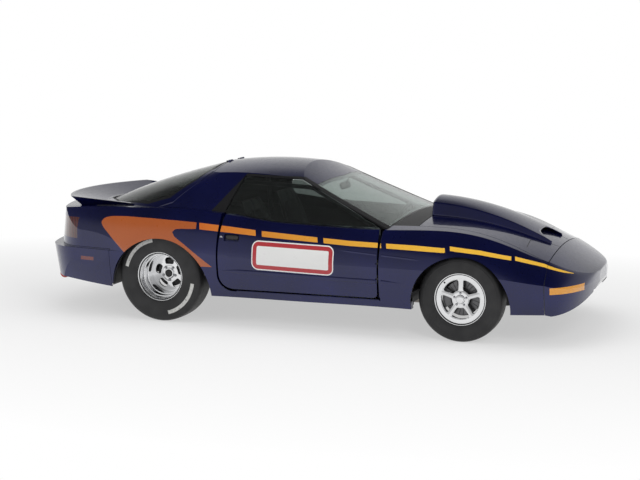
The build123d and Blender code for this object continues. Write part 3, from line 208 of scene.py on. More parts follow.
def tube(path, radius, sides=14):
    """A circle carried along a path: its cross axes come from the tangent and a fixed reference."""
    path = np.asarray(path, float)
    tangent = np.gradient(path, axis=0)
    tangent /= np.linalg.norm(tangent, axis=1)[:, None]
    whole = path[-1] - path[0]
    reference = np.eye(3)[np.argmin(np.abs(whole))]
    across = np.cross(tangent, reference)
    across /= np.linalg.norm(across, axis=1)[:, None]
    above = np.cross(across, tangent)
    turn = np.linspace(0, 2 * np.pi, sides + 1)[None, :, None]
    radius = np.broadcast_to(np.asarray(radius, float), (len(path),))[:, None, None]
    ring = path[:, None] + radius * (np.cos(turn) * across[:, None] + np.sin(turn) * above[:, None])
    return grid(closed(path, ring))


def spun(profile, place, direction, steps=48):
    """A profile of (out, radius) rows carried once round any axis, whose direction gives two cross axes."""
    axis = np.asarray(direction, float)
    axis /= np.linalg.norm(axis)
    first = np.cross(axis, np.eye(3)[np.argmin(np.abs(axis))])
    first /= np.linalg.norm(first)
    second = np.cross(axis, first)
    out, radius = np.asarray(profile, float).T
    turn = np.linspace(0, 2 * np.pi, steps + 1)[None, :, None]
    ring = radius[:, None, None] * (np.cos(turn) * first + np.sin(turn) * second)
    return grid(np.asarray(place, float) + out[:, None, None] * axis + ring)


def strap(path, across, width, thick):
    """Flat webbing: a rounded flat section, wide along across, carried along a smooth line."""
    line = smooth(path, 10)
    tangent = np.gradient(line, axis=0)
    tangent /= np.linalg.norm(tangent, axis=1)[:, None]
    across = np.broadcast_to(np.asarray(across, float), line.shape)
    facing = np.cross(across, tangent)
    turn = np.linspace(0, 2 * np.pi, 17)[None, :, None]
    wide = np.sign(np.cos(turn)) * np.abs(np.cos(turn)) ** 0.4 * width / 2
    deep = np.sign(np.sin(turn)) * np.abs(np.sin(turn)) ** 0.7 * thick / 2
    ring = line[:, None] + wide * across[:, None] + deep * facing[:, None]
    return grid(closed(line, ring))


def ribbon(path, normal, width, height):
    """A low ellipse, half sunk, carried along a path on a surface: across is square to path and normal."""
    path = np.asarray(path, float)
    normal = np.broadcast_to(np.asarray(normal, float), path.shape)
    tangent = np.gradient(path, axis=0)
    across = np.cross(tangent, normal)
    across /= np.linalg.norm(across, axis=1)[:, None]
    turn = np.linspace(0, 2 * np.pi, 13)[None, :, None]
    width, height = (np.broadcast_to(np.asarray(v, float), (len(path),))[:, None, None]
                     for v in (width, height))
    ring = path[:, None] + width / 2 * np.cos(turn) * across[:, None]
    ring = ring + height * np.sin(turn) * normal[:, None]
    return grid(closed(path, ring))


def pillow(middle, axes, half, power=4.0, crown=0.0, channels=0, rows=41, columns=97):
    """A closed stuffed form: a superellipse outline whose height follows a rounded dome, with the sides
    drawn in.

    Latitude runs pole to pole; the outline's radius is a superellipse of the given power, so corners are
    round. Sewn channels are narrow dips across the first axis: a high power of a cosine."""
    latitude = np.linspace(-np.pi / 2, np.pi / 2, rows)[:, None]
    turn = np.linspace(0, 2 * np.pi, columns)[None, :]
    outline = (np.abs(np.cos(turn)) ** power + np.abs(np.sin(turn)) ** power) ** (-1 / power)
    flat = np.sign(np.cos(latitude)) * np.abs(np.cos(latitude)) ** 0.45
    u = flat * outline * np.cos(turn)
    v = flat * outline * np.sin(turn)
    rise = np.sign(np.sin(latitude)) * np.abs(np.sin(latitude)) ** 0.8 + 0 * turn
    sewn = 0.16 * np.cos(np.pi * channels * (u + 1) / 2) ** 24 if channels else 0.0
    dome = (1 + crown * (1 - np.clip(u * u + v * v, 0, 1))) * (1 - sewn)
    local = np.stack([half[0] * u, half[1] * v, half[2] * rise * dome], -1)
    return grid(np.asarray(middle) + local @ np.asarray(axes, float))


def piece(name, shapes, material, body, stands_for=(), sharp=38.0):
    """One mesh from several grids, doubles merged and faces turned outwards, riding on a body."""
    counts = np.cumsum([0] + [len(s[0]) for s in shapes])
    points = np.concatenate([s[0] for s in shapes])
    quads = np.concatenate([s[1] + start for s, start in zip(shapes, counts)])
    spread = np.concatenate([s[2] for s in shapes])
    mesh = bpy.data.meshes.new(name)
    mesh.from_pydata(points, [], quads)
    corner = np.empty(len(mesh.loops), np.int32)
    mesh.loops.foreach_get("vertex_index", corner)
    mesh.uv_layers.new(name="UVMap").data.foreach_set("uv", spread[corner].astype(np.float32).ravel())
    work = bmesh.new()
    work.from_mesh(mesh)
    bmesh.ops.remove_doubles(work, verts=work.verts, dist=2e-5)
    bmesh.ops.dissolve_degenerate(work, dist=1e-6, edges=work.edges)
    bmesh.ops.recalc_face_normals(work, faces=work.faces)
    work.to_mesh(mesh)
    work.free()
    mesh.polygons.foreach_set("use_smooth", np.ones(len(mesh.polygons), bool))
    mesh.set_sharp_from_angle(angle=math.radians(sharp))
    mesh.materials.append(material)
    made = bpy.data.objects.new(name, mesh)
    bpy.context.scene.collection.objects.link(made)
    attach(made, body)
    if stands_for:
        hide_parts(*stands_for)
    return made


def walled(made, thick, offset=0.0):
    """A sheet given a wall by Solidify: offset 0 spreads it both ways, -1 keeps it under the sheet."""
    wall = made.modifiers.new("wall", "SOLIDIFY")
    wall.thickness = thick
    wall.offset = offset


def triangles(*names):
    """The nodes' triangles as an array (count, 3, 3)."""
    found = []
    for name in names:
        mesh = NODES[name].data
        mesh.calc_loop_triangles()
        corners = np.empty(3 * len(mesh.loop_triangles), np.int32)
        mesh.loop_triangles.foreach_get("vertices", corners)
        place = np.empty(3 * len(mesh.vertices), np.float32)
        mesh.vertices.foreach_get("co", place)
        found.append(place.reshape(-1, 3)[corners].reshape(-1, 3, 3))
    return np.concatenate(found).astype(float)


def landed(names, flat, axis, side):
    """Flat points carried along one axis onto the nodes: barycentric weights in every triangle pick the
    outermost hit."""
    tri = triangles(*names)
    keep = [i for i in range(3) if i != axis]
    a, b, c = (tri[:, i][:, keep] for i in range(3))
    p = np.asarray(flat, float)[:, None]
    det = (b[:, 1] - c[:, 1]) * (a[:, 0] - c[:, 0]) + (c[:, 0] - b[:, 0]) * (a[:, 1] - c[:, 1])
    det = np.where(np.abs(det) < 1e-12, np.inf, det)
    wa = ((b[:, 1] - c[:, 1]) * (p[..., 0] - c[:, 0]) + (c[:, 0] - b[:, 0]) * (p[..., 1] - c[:, 1])) / det
    wb = ((c[:, 1] - a[:, 1]) * (p[..., 0] - c[:, 0]) + (a[:, 0] - c[:, 0]) * (p[..., 1] - c[:, 1])) / det
    wc = 1 - wa - wb
    inside = (np.minimum(np.minimum(wa, wb), wc) > -1e-6) & np.isfinite(det)
    depth = wa * tri[:, 0, axis] + wb * tri[:, 1, axis] + wc * tri[:, 2, axis]
    depth = np.where(inside, side * depth, -np.inf).max(1) * side
    place = np.empty((len(p), 3))
    place[:, keep] = p[:, 0]
    place[:, axis] = depth
    return place[np.isfinite(depth)]


# Finishes

class Finish:
    """A material's node tree with short calls for its nodes."""

    def __init__(self, name, **sockets):
        self.material = bpy.data.materials.new(name)
        self.material.use_nodes = True
        self.tree = self.material.node_tree
        self.shader = self.tree.nodes["Principled BSDF"]
        self.place = self.tree.nodes.new("ShaderNodeTexCoord")
        for key, value in sockets.items():
            self.feed(key.replace("_", " "), value)
        self.axes = None

    def put(self, socket, value):
        """A link if the value comes from a node, otherwise the socket's own constant."""
        if isinstance(value, bpy.types.NodeSocket):
            self.tree.links.new(value, socket)
        else:
            socket.default_value = value

    def feed(self, name, value):
        self.put(self.shader.inputs[name], value)

    def node(self, kind, inputs=(), **settings):
        made = self.tree.nodes.new(kind)
        for key, value in settings.items():
            setattr(made, key, value)
        for key, value in dict(inputs).items():
            self.put(made.inputs[key], value)
        return made

    def calc(self, operation, *values):
        """One maths node; the names below it are its common operations."""
        made = self.node("ShaderNodeMath", operation=operation)
        for socket, value in zip(made.inputs, values):
            self.put(socket, value)
        return made.outputs[0]

    less = partialmethod(calc, "LESS_THAN")
    more = partialmethod(calc, "GREATER_THAN")
    minus = partialmethod(calc, "SUBTRACT")
    times = partialmethod(calc, "MULTIPLY")
    plus = partialmethod(calc, "ADD")
    size = partialmethod(calc, "ABSOLUTE")
    sine = partialmethod(calc, "SINE")
    larger = partialmethod(calc, "MAXIMUM")
    root = partialmethod(calc, "SQRT")
    fraction = partialmethod(calc, "FRACT")

    def all_of(self, *masks):
        """Masks multiplied together: one only where all of them are."""
        whole = masks[0]
        for mask in masks[1:]:
            whole = self.times(whole, mask)
        return whole

    def mix(self, factor, first, second):
        made = self.node("ShaderNodeMix", data_type="RGBA")
        self.put(made.inputs[0], factor)
        self.put(made.inputs[6], first)
        self.put(made.inputs[7], second)
        return made.outputs[2]

    def xyz(self):
        if self.axes is None:
            self.axes = self.node("ShaderNodeSeparateXYZ", {0: self.place.outputs["Object"]}).outputs
        return self.axes[0], self.axes[1], self.axes[2]

    def facing(self):
        made = self.node("ShaderNodeSeparateXYZ", {0: self.place.outputs["Normal"]})
        return made.outputs[0], made.outputs[1], made.outputs[2]

    def noise(self, scale, detail=2.0, source="Object", stretch=None):
        place = self.place.outputs[source]
        if stretch:
            place = self.node("ShaderNodeMapping", {"Vector": place, "Scale": stretch}).outputs[0]
        made = self.node("ShaderNodeTexNoise", {"Vector": place, "Scale": scale, "Detail": detail})
        return made.outputs[0]

    def ranged(self, value, low, high, first, second):
        made = self.node("ShaderNodeMapRange", {0: value, 1: low, 2: high, 3: first, 4: second})
        return made.outputs[0]

    def bump(self, height, strength, distance):
        made = self.node("ShaderNodeBump", {"Height": height, "Strength": strength, "Distance": distance})
        self.feed("Normal", made.outputs[0])

    def curve(self, value, points):
        """A line through (input, output) points, straight between them."""
        first = np.asarray(points, float)
        low, high = first.min(0), first.max(0)
        part = self.ranged(value, low[0], high[0], 0.0, 1.0)
        made = self.node("ShaderNodeFloatCurve", {"Value": part})
        line = made.mapping.curves[0]
        spots = (first - low) / (high - low)
        line.points[0].location = spots[0]
        line.points[1].location = spots[-1]
        for spot in spots[1:-1]:
            line.points.new(*spot)
        for spot in line.points:
            spot.handle_type = "VECTOR"
        made.mapping.update()
        return self.ranged(made.outputs[0], 0.0, 1.0, low[1], high[1])


def stripe_layer(f):
    """Mask and colour of the broken stripe: between two edge lines, cut by slanted breaks."""
    x, y, z = f.xyz()
    slanted = f.plus(x, f.times(f.minus(z, STRIPE_LEVEL), STRIPE_LEAN))
    mask = f.all_of(f.less(z, f.curve(x, STRIPE_TOP)), f.more(z, f.curve(x, STRIPE_FOOT)),
                    f.more(slanted, STRIPE_START), f.less(x, STRIPE_END), f.more(f.size(y), 0.50))
    for start, end in STRIPE_BREAKS:
        middle, half = (start + end) / 2, (end - start) / 2
        away = f.size(f.minus(slanted, middle))
        mask = f.times(mask, f.more(away, half))
    colour = f.mix(f.ranged(x, -0.75, 1.2, 0.0, 1.0), STRIPE_ORANGE, STRIPE_YELLOW)
    return mask, colour


def flare_layer(f):
    """Mask and colour of the flare on the quarter: under its top line, between its rear and front edges."""
    x, y, z = f.xyz()
    mask = f.all_of(f.less(z, f.curve(x, FLARE_TOP)), f.more(x, f.curve(z, FLARE_REAR)),
                    f.less(x, f.curve(z, FLARE_FRONT)), f.more(z, 0.50), f.more(f.size(y), 0.60))
    return mask, f.mix(f.noise(3.0, 2.0), FLARE_ORANGE, FLARE_PALE)


def sign_layers(f):
    """The blank door sign: a rounded rectangle's distance gives white edge, red band and white field."""
    x, _, z = f.xyz()
    along = f.minus(x, SIGN_MIDDLE[0])
    above = f.minus(f.minus(z, SIGN_MIDDLE[1]), f.times(along, SIGN_TILT))
    side = f.minus(f.size(along), SIGN_HALF[0] - SIGN_CORNER)
    top = f.minus(f.size(above), SIGN_HALF[1] - SIGN_CORNER)
    corner = f.root(f.plus(f.calc("POWER", f.larger(side, 0.0), 2.0),
                           f.calc("POWER", f.larger(top, 0.0), 2.0)))
    inner = f.calc("MINIMUM", f.larger(side, top), 0.0)
    distance = f.minus(f.plus(corner, inner), SIGN_CORNER)
    edge = f.less(distance, 0.0)
    band = f.less(distance, -SIGN_EDGE)
    field = f.less(distance, -SIGN_BAND)
    return (edge, SIGN_WHITE), (band, SIGN_RED), (field, SIGN_WHITE)


def roof_black(f):
    """Black window frames, pillars and lining: below the roof's side line ahead of the sail, outside the
    windscreen's side edge, and wherever a face looks down."""
    x, y, z = f.xyz()
    wide = f.size(y)
    line = f.minus(ROOF_LINE_Z, f.times(f.minus(x, ROOF_LINE_X), ROOF_LINE_FALL))
    sail = f.minus(x, f.times(f.minus(z, SAIL_FOOT_Z), SAIL_LEAN))
    frames = f.all_of(f.less(z, line), f.more(sail, SAIL_FOOT_X), f.less(x, 0.0), f.more(wide, FRAME_IN_Y))
    edge = f.plus(SCREEN_TOP[1], f.times(f.minus(x, SCREEN_TOP[0]), SCREEN_SPREAD))
    front = f.minus(PILLAR_TOP_Z, f.times(x, PILLAR_FALL))
    pillars = f.all_of(f.more(x, 0.0), f.more(wide, edge), f.less(z, front))
    lining = f.less(f.facing()[2], LINING_DOWN)
    return ((f.larger(f.larger(frames, pillars), lining), TRIM_BLACK),)


def hatch_black(f):
    """Black border printed round the rear window: within its half width grown by the border's own."""
    x, y, _ = f.xyz()
    inside = f.less(f.size(y), f.plus(f.curve(x, REAR_WINDOW), BORDER_WIDE))
    border = f.all_of(inside, f.more(x, BORDER_REAR_X), f.less(x, BORDER_FRONT_X))
    return ((f.larger(border, f.less(f.facing()[2], LINING_DOWN)), TRIM_BLACK),)


def side_graphics(f):
    """Stripe, flare and sign on the outer faces, and black inside faces, told apart by the face's own
    direction."""
    _, y, _ = f.xyz()
    outward = f.times(f.facing()[1], f.calc("SIGN", y))
    outer = f.more(outward, OUTER_FACE)
    layers = [(f.times(mask, outer), shade) for mask, shade in
              (stripe_layer(f), flare_layer(f), *sign_layers(f))]
    return (*layers, (f.less(outward, LINING_IN), TRIM_BLACK))


def navy_paint(name, layers=None):
    """Deep blue metallic under clear lacquer: fine flake brightens the base, vinyl layers lie over it."""
    f = Finish(name, Coat_Weight=1.0, Coat_Roughness=0.03, Coat_IOR=1.47, IOR=1.4)
    flake = f.ranged(f.noise(1400.0, 1.0), 0.45, 0.75, 0.0, 1.0)
    cloud = f.ranged(f.noise(2.2, 2.0), 0.3, 0.7, 0.0, 0.35)
    colour = f.mix(f.plus(f.times(flake, 0.3), cloud), NAVY, NAVY_FLAKE)
    metal = f.ranged(flake, 0.0, 1.0, 0.60, 0.68)
    lacquer = None
    for mask, shade in (layers(f) if layers else ()):
        colour = f.mix(mask, colour, shade)
        bare = f.minus(1.0, mask)
        metal = f.times(metal, bare)
        lacquer = bare if shade == TRIM_BLACK else lacquer
    rough = f.ranged(f.noise(35.0, 3.0), 0.3, 0.7, 0.27, 0.35)
    if lacquer is not None:
        f.feed("Coat Weight", f.ranged(lacquer, 0.0, 1.0, 0.15, 1.0))
        rough = f.plus(rough, f.ranged(lacquer, 0.0, 1.0, 0.25, 0.0))
    f.feed("Base Color", colour)
    f.feed("Metallic", metal)
    f.feed("Roughness", rough)
    f.bump(f.noise(160.0, 1.0), 0.012, 0.001)
    return f.material


def tinted_glass(name, tint):
    """Clear greenish glass, faintly uneven."""
    f = Finish(name, Transmission_Weight=1.0, IOR=1.45, Specular_IOR_Level=0.5)
    deeper = tuple(0.96 * t for t in tint[:3]) + (1.0,)
    f.feed("Base Color", f.mix(f.noise(4.0, 1.0), tint, deeper))
    f.feed("Roughness", f.ranged(f.noise(9.0, 3.0), 0.35, 0.75, 0.0, 0.006))
    return f.material


def worn(name, dark, pale, metallic, rough, grain, depth, **sockets):
    """A surface whose colour runs between two tones in clouds, with a fine grain in its roughness and
    relief."""
    f = Finish(name, Metallic=metallic, **sockets)
    cloud = f.ranged(f.noise(14.0, 4.0), 0.3, 0.7, 0.0, 1.0)
    f.feed("Base Color", f.mix(cloud, dark + (1.0,), pale + (1.0,)))
    f.feed("Roughness", f.ranged(f.noise(grain / 3, 3.0), 0.3, 0.7, rough - 0.06, rough + 0.06))
    f.bump(f.noise(grain, 2.0), 0.25, depth)
    return f.material


def machined_metal(name, tone, rough):
    """Bright turned aluminium: fine lines along the turning, and slight haze."""
    f = Finish(name, Metallic=1.0)
    lines = f.noise(60.0, 2.0, "UV", (0.02, 6.0, 1.0))
    hazy = tuple(0.9 * t for t in tone)
    f.feed("Base Color", f.mix(f.noise(25.0, 3.0), tone + (1.0,), hazy + (1.0,)))
    f.feed("Roughness", f.ranged(lines, 0.3, 0.7, rough - 0.03, rough + 0.05))
    f.bump(lines, 0.08, 0.0004)
    return f.material


def tyre_rubber(name, axle, arcs):
    """Black rubber: greyer dusty tread, fine radial lines on the sidewall, and plain pale arcs where
    asked."""
    f = Finish(name, Specular_IOR_Level=0.4)
    x, y, z = f.xyz()
    dx = f.minus(x, axle[0])
    dz = f.minus(z, axle[2])
    radius = f.root(f.plus(f.times(dx, dx), f.times(dz, dz)))
    angle = f.calc("ARCTAN2", dz, dx)
    cloud = f.ranged(f.noise(10.0, 4.0), 0.35, 0.7, 0.0, 1.0)
    colour = f.mix(cloud, RUBBER_DARK, RUBBER_PALE)
    dust = f.ranged(radius, axle[2] - 0.012, axle[2] - 0.001, 0.0, 0.75)
    colour = f.mix(dust, colour, RUBBER_DUST)
    for low, high, start, end in arcs:
        middle, half = (start + end) / 2, (end - start) / 2
        outer = f.more(f.size(y), axle[1] + 0.05)
        band = f.less(f.size(f.minus(radius, (low + high) / 2)), (high - low) / 2)
        sweep = f.less(f.size(f.minus(angle, middle)), half)
        wear = f.ranged(f.noise(60.0, 4.0), 0.30, 0.42, 0.35, 1.0)
        colour = f.mix(f.all_of(outer, band, sweep, wear), colour, ARC_WHITE)
    f.feed("Base Color", colour)
    f.feed("Roughness", f.ranged(f.noise(40.0, 3.0), 0.3, 0.7, 0.42, 0.58))
    ribs = f.sine(f.times(angle, SIDEWALL_LINES))
    height = f.plus(f.noise(300.0, 2.0), f.times(ribs, 0.15))
    f.bump(height, 0.25, 0.0006)
    return f.material


def ribbed_lens(name, colour, deep, ribs, **sockets):
    """Moulded lens: ribs by x under a clear gloss."""
    f = Finish(name, Roughness=0.12, Coat_Weight=1.0, Coat_Roughness=0.02, **sockets)
    x, y, _ = f.xyz()
    wave = f.size(f.sine(f.times(f.plus(x, f.times(y, 0.6)), ribs)))
    f.feed("Base Color", f.mix(wave, deep + (1.0,), colour + (1.0,)))
    f.bump(wave, 0.35, 0.002)
    return f.material


def woven_cloth(name, dark, pale):
    """Woven seat cloth: two crossed waves raise the threads, with soft sheen."""
    f = Finish(name, Roughness=0.88, Sheen_Weight=0.10, Sheen_Roughness=0.5)
    x, y, z = f.xyz()
    warp = f.sine(f.times(y, THREADS))
    weft = f.sine(f.times(f.plus(x, z), THREADS))
    threads = f.times(warp, weft)
    cloud = f.plus(f.times(threads, 0.25), f.noise(18.0, 4.0))
    f.feed("Base Color", f.mix(f.ranged(cloud, 0.2, 0.8, 0.0, 1.0), dark + (1.0,), pale + (1.0,)))
    f.bump(threads, 0.3, 0.0006)
    return f.material


def slotted_iron(name):
    """Brake disc: turned rings with swept grooves whose near-black colour is painted shade in the slots, by
    the piece's own UV.
    """
    f = Finish(name, Metallic=1.0)
    uv = f.node("ShaderNodeSeparateXYZ", {0: f.place.outputs["UV"]}).outputs
    sweep = f.plus(f.times(uv[0], DISC_GROOVES), f.times(uv[1], 3.0))
    groove = f.less(f.size(f.minus(f.fraction(sweep), 0.5)), 0.07)
    tone = f.mix(f.noise(30.0, 4.0), (0.10, 0.10, 0.105, 1.0), (0.17, 0.17, 0.175, 1.0))
    # The grooves are painted near-black: painted shade in the slots, while the bump gives their relief.
    f.feed("Base Color", f.mix(groove, tone, (0.03, 0.03, 0.03, 1.0)))
    f.feed("Roughness", f.ranged(f.noise(200.0, 2.0, "UV", (0.02, 1.0, 1.0)), 0.3, 0.7, 0.26, 0.42))
    f.bump(f.minus(1.0, groove), 0.5, 0.0008)
    return f.material


def dial_face(name):
    """A dial: pale ticks round a black face, by the angle and radius of the piece's own UV."""
    f = Finish(name, Roughness=0.35, Coat_Weight=1.0, Coat_Roughness=0.02)
    uv = f.node("ShaderNodeSeparateXYZ", {0: f.place.outputs["UV"]}).outputs
    step = f.size(f.minus(f.fraction(f.times(uv[0], DIAL_TICKS)), 0.5))
    ring = f.less(f.size(f.minus(uv[1], 0.66)), 0.05)
    sweep = f.less(f.size(f.minus(uv[0], 0.45)), 0.38)
    ticks = f.all_of(f.less(step, 0.16), ring, sweep)
    ground = f.mix(f.noise(80.0, 2.0), (0.010, 0.010, 0.011, 1.0), (0.016, 0.016, 0.017, 1.0))
    f.feed("Base Color", f.mix(ticks, ground, (0.70, 0.70, 0.66, 1.0)))
    return f.material


PAINT = navy_paint("navy_paint")
PAINT_SIDES = navy_paint("navy_paint_with_stripes", side_graphics)
PAINT_ROOF = navy_paint("navy_paint_roof", roof_black)
PAINT_HATCH = navy_paint("navy_paint_hatch", hatch_black)
GLASS = tinted_glass("windscreen_glass", (0.68, 0.77, 0.73, 1.0))
SIDE_GLASS = tinted_glass("side_window_glass", (0.27, 0.30, 0.29, 1.0))
REAR_GLASS = tinted_glass("rear_window_glass", (0.20, 0.22, 0.21, 1.0))
POLISHED = machined_metal("polished_rim", (0.80, 0.805, 0.815), 0.10)
NUT_METAL = machined_metal("nut_metal", (0.40, 0.40, 0.42), 0.18)
DISC_IRON = slotted_iron("brake_disc_iron")
FRONT_RUBBER = tyre_rubber("front_tyre_rubber", FRONT_AXLE, ())
REAR_RUBBER = tyre_rubber("rear_tyre_rubber", REAR_AXLE,
                          ((0.292, 0.322, 1.75, 2.90), (0.292, 0.322, -1.32, -0.14)))
TRIM = worn("black_trim", (0.010, 0.010, 0.011), (0.016, 0.016, 0.017), 0.0, 0.45, 900.0, 0.0004)
DARK_STEEL = worn("dark_steel", (0.018, 0.018, 0.020), (0.035, 0.035, 0.037), 0.3, 0.46, 350.0, 0.0005)
CAGE_STEEL = worn("roll_cage_paint", (0.040, 0.040, 0.044), (0.058, 0.058, 0.062), 0.1, 0.32, 240.0, 0.0003,
                  Coat_Weight=0.4)
IRON = worn("cast_iron", (0.11, 0.11, 0.115), (0.20, 0.20, 0.205), 0.8, 0.50, 420.0, 0.0012)
EXHAUST_STEEL = worn("exhaust_steel", (0.20, 0.18, 0.16), (0.36, 0.34, 0.32), 1.0, 0.34, 160.0, 0.0004)
ROLLER_RED = worn("roller_red", (0.42, 0.030, 0.020), (0.55, 0.055, 0.035), 0.0, 0.36, 220.0, 0.0004,
                  Coat_Weight=0.3)
AMBER = ribbed_lens("amber_lens", (0.90, 0.40, 0.02), (0.66, 0.22, 0.01), 330.0)
RED = ribbed_lens("red_lens", (0.17, 0.013, 0.012), (0.09, 0.006, 0.006), 330.0)
SMOKED = ribbed_lens("smoked_lens", (0.075, 0.006, 0.007), (0.020, 0.003, 0.004), 120.0)
SEAT_CLOTH = woven_cloth("seat_cloth", (0.012, 0.012, 0.014), (0.030, 0.030, 0.034))
BELT = woven_cloth("belt_webbing", (0.030, 0.030, 0.034), (0.060, 0.060, 0.066))
SHELL = worn("seat_shell", (0.016, 0.016, 0.017), (0.028, 0.028, 0.029), 0.0, 0.38, 500.0, 0.0006,
             Coat_Weight=0.3)
DIAL = dial_face("dial_face")

NODE_FINISH = {"unibody": DARK_STEEL, "hood": PAINT, "hood_scoop": PAINT, "cowl": TRIM,
               "front_fascia": PAINT_SIDES, "front_markers": AMBER, "rear_fascia": PAINT_SIDES,
               "rear_markers": RED, "tail_lamps": SMOKED, "roof_frame": PAINT_ROOF, "windshield": GLASS,
               "hatch": PAINT_HATCH, "hatch_glass": REAR_GLASS, "spoiler": PAINT, "door_hinges": DARK_STEEL,
               "engine_block": IRON, "gearbox": IRON, "driveshaft": DARK_STEEL, "rear_axle": DARK_STEEL,
               "front_arms": DARK_STEEL, "dashboard": TRIM, "steering_wheel": TRIM, "roll_cage": CAGE_STEEL,
               "exhaust": EXHAUST_STEEL, "wheelie_bar": DARK_STEEL, "wheelie_wheel": ROLLER_RED}
SIDE_FINISH = {"front_fender": PAINT_SIDES, "quarter_panel": PAINT_SIDES, "rocker": PAINT,
               "door": PAINT_SIDES, "door_glass": SIDE_GLASS, "knuckle": IRON, "brake_disc": DISC_IRON,
               "seat": SEAT_CLOTH, "front_tyre": FRONT_RUBBER, "rear_tyre": REAR_RUBBER,
               "front_rim": POLISHED, "rear_rim": POLISHED}


def dress_nodes():
    """Each CAD node gets its finish as its only material."""
    named = dict(NODE_FINISH)
    for side, _ in SIDES:
        named.update({f"{name}_{side}": finish for name, finish in SIDE_FINISH.items()})
    for name, finish in named.items():
        data = NODES[name].data
        data.materials.clear()
        data.materials.append(finish)


# Wheels

def tyre_profile(knots, ribs, grooves=()):
    """Half section from bead to tread, with thin raised rings on the sidewall and grooves in the tread,
    mirrored."""
    half = smooth(knots, 14)
    radius = half[:, 1].copy()
    for place in ribs:
        half[:, 0] += 0.0014 * np.exp(-((radius - place) / 0.0022) ** 2)
    for place in grooves:
        half[:, 1] -= 0.004 * np.exp(-((half[:, 0] - place) / 0.0028) ** 2) * (radius > 0.32)
    both = np.concatenate([half, half[-2::-1] * (-1, 1)])
    return np.concatenate([both, both[:1]])


# Lathe profiles as (out, radius): out runs along the axle from the track plane
FRONT_TYRE = tyre_profile(((0.066, 0.189), (0.073, 0.199), (0.084, 0.222), (0.0895, 0.256), (0.0885, 0.292),
                           (0.082, 0.318), (0.068, 0.3325), (0.048, 0.3367), (0.024, 0.3376), (0.0, 0.3376)),
                          (0.214, 0.296), (0.022, 0.046))
REAR_TYRE = tyre_profile(((0.098, 0.189), (0.106, 0.200), (0.118, 0.228), (0.1245, 0.268), (0.1245, 0.312),
                          (0.118, 0.348), (0.103, 0.370), (0.078, 0.3792), (0.040, 0.3816), (0.0, 0.3816)),
                         (0.216, 0.345))
FRONT_BARREL = ((0.0710, 0.2058), (0.0745, 0.2060), (0.0763, 0.2042), (0.0763, 0.2005), (0.0750, 0.1985),
                (0.0690, 0.1965), (0.0675, 0.1945), (0.0668, 0.1640), (0.0660, 0.1590), (0.0630, 0.1565),
                (0.0500, 0.1570), (0.0420, 0.1640), (0.0370, 0.1740), (0.0290, 0.1795), (-0.0650, 0.1815),
                (-0.0763, 0.1870), (-0.0763, 0.2030), (-0.0710, 0.2058), (-0.0660, 0.1895), (0.0600, 0.1895),
                (0.0650, 0.1915), (0.0710, 0.2058))
REAR_BARREL = ((0.1060, 0.2058), (0.1095, 0.2060), (0.1113, 0.2042), (0.1113, 0.2010), (0.1090, 0.1985),
               (0.1020, 0.1965), (0.0990, 0.1945), (0.0985, 0.1890), (0.0960, 0.1868), (0.0500, 0.1840),
               (0.0470, 0.1828), (0.0462, 0.1770), (0.0440, 0.1752), (0.0050, 0.1725), (0.0020, 0.1713),
               (0.0012, 0.1660), (-0.0010, 0.1640), (-0.0660, 0.1570), (-0.0760, 0.1545), (-0.0880, 0.1545),
               (-0.0920, 0.1700), (-0.1040, 0.1760), (-0.1113, 0.1850), (-0.1113, 0.2030), (-0.1060, 0.2058),
               (-0.0990, 0.1895), (0.0955, 0.1895), (0.1000, 0.1915), (0.1060, 0.2058))
FRONT_HUB = ((0.0410, 0.0), (0.0410, 0.067), (0.0580, 0.067), (0.0625, 0.0645), (0.0638, 0.060),
             (0.0645, 0.046), (0.0650, 0.0375), (0.0680, 0.0350), (0.0705, 0.0325), (0.0712, 0.0290),
             (0.0735, 0.0275), (0.0752, 0.0220), (0.0760, 0.0120), (0.0762, 0.0))
REAR_HUB = ((-0.0900, 0.0), (-0.0900, 0.074), (-0.0760, 0.074), (-0.0715, 0.0715), (-0.0700, 0.067),
            (-0.0695, 0.0480), (-0.0670, 0.0440), (-0.0560, 0.0420), (-0.0535, 0.0395), (-0.0535, 0.0340),
            (-0.0600, 0.0325), (-0.0600, 0.0))
REAR_CAP = ((-0.0610, 0.0), (-0.0610, 0.0318), (-0.0500, 0.0312), (-0.0462, 0.0275), (-0.0450, 0.0180),
            (-0.0450, 0.0))
VALVE = ((0.060, 0.0), (0.060, 0.0075), (0.0678, 0.0075), (0.0684, 0.006), (0.0684, 0.0038),
         (0.0735, 0.0034), (0.0742, 0.002), (0.0742, 0.0))
VALVE_RADIUS = 0.178
VALVE_ANGLE = 2.36
DISC = ((0.0, 0.062), (0.0, 0.139), (-0.001, 0.140), (-0.004, 0.140), (-0.0045, 0.136), (-0.0075, 0.136),
        (-0.008, 0.140), (-0.011, 0.140), (-0.012, 0.139), (-0.012, 0.062), (0.0, 0.062))
BELL = ((-0.012, 0.030), (-0.012, 0.070), (0.0, 0.070), (0.002, 0.068), (0.034, 0.064), (0.0400, 0.060),
        (0.0405, 0.030), (-0.012, 0.030))
AXLE_PLATE = ((-0.0950, 0.0), (-0.0950, 0.110), (-0.0990, 0.118), (-0.1400, 0.118), (-0.1430, 0.112),
              (-0.1430, 0.0))
AXLE_END = 0.650

# Calipers: out, radius and their half sizes for the outer pad, the inner pad and the bridge over the disc
CALIPER = ((0.0175, 0.115, 0.0125, 0.030), (-0.0320, 0.115, 0.0160, 0.030),
           (-0.0070, 0.1475, 0.0370, 0.0045))


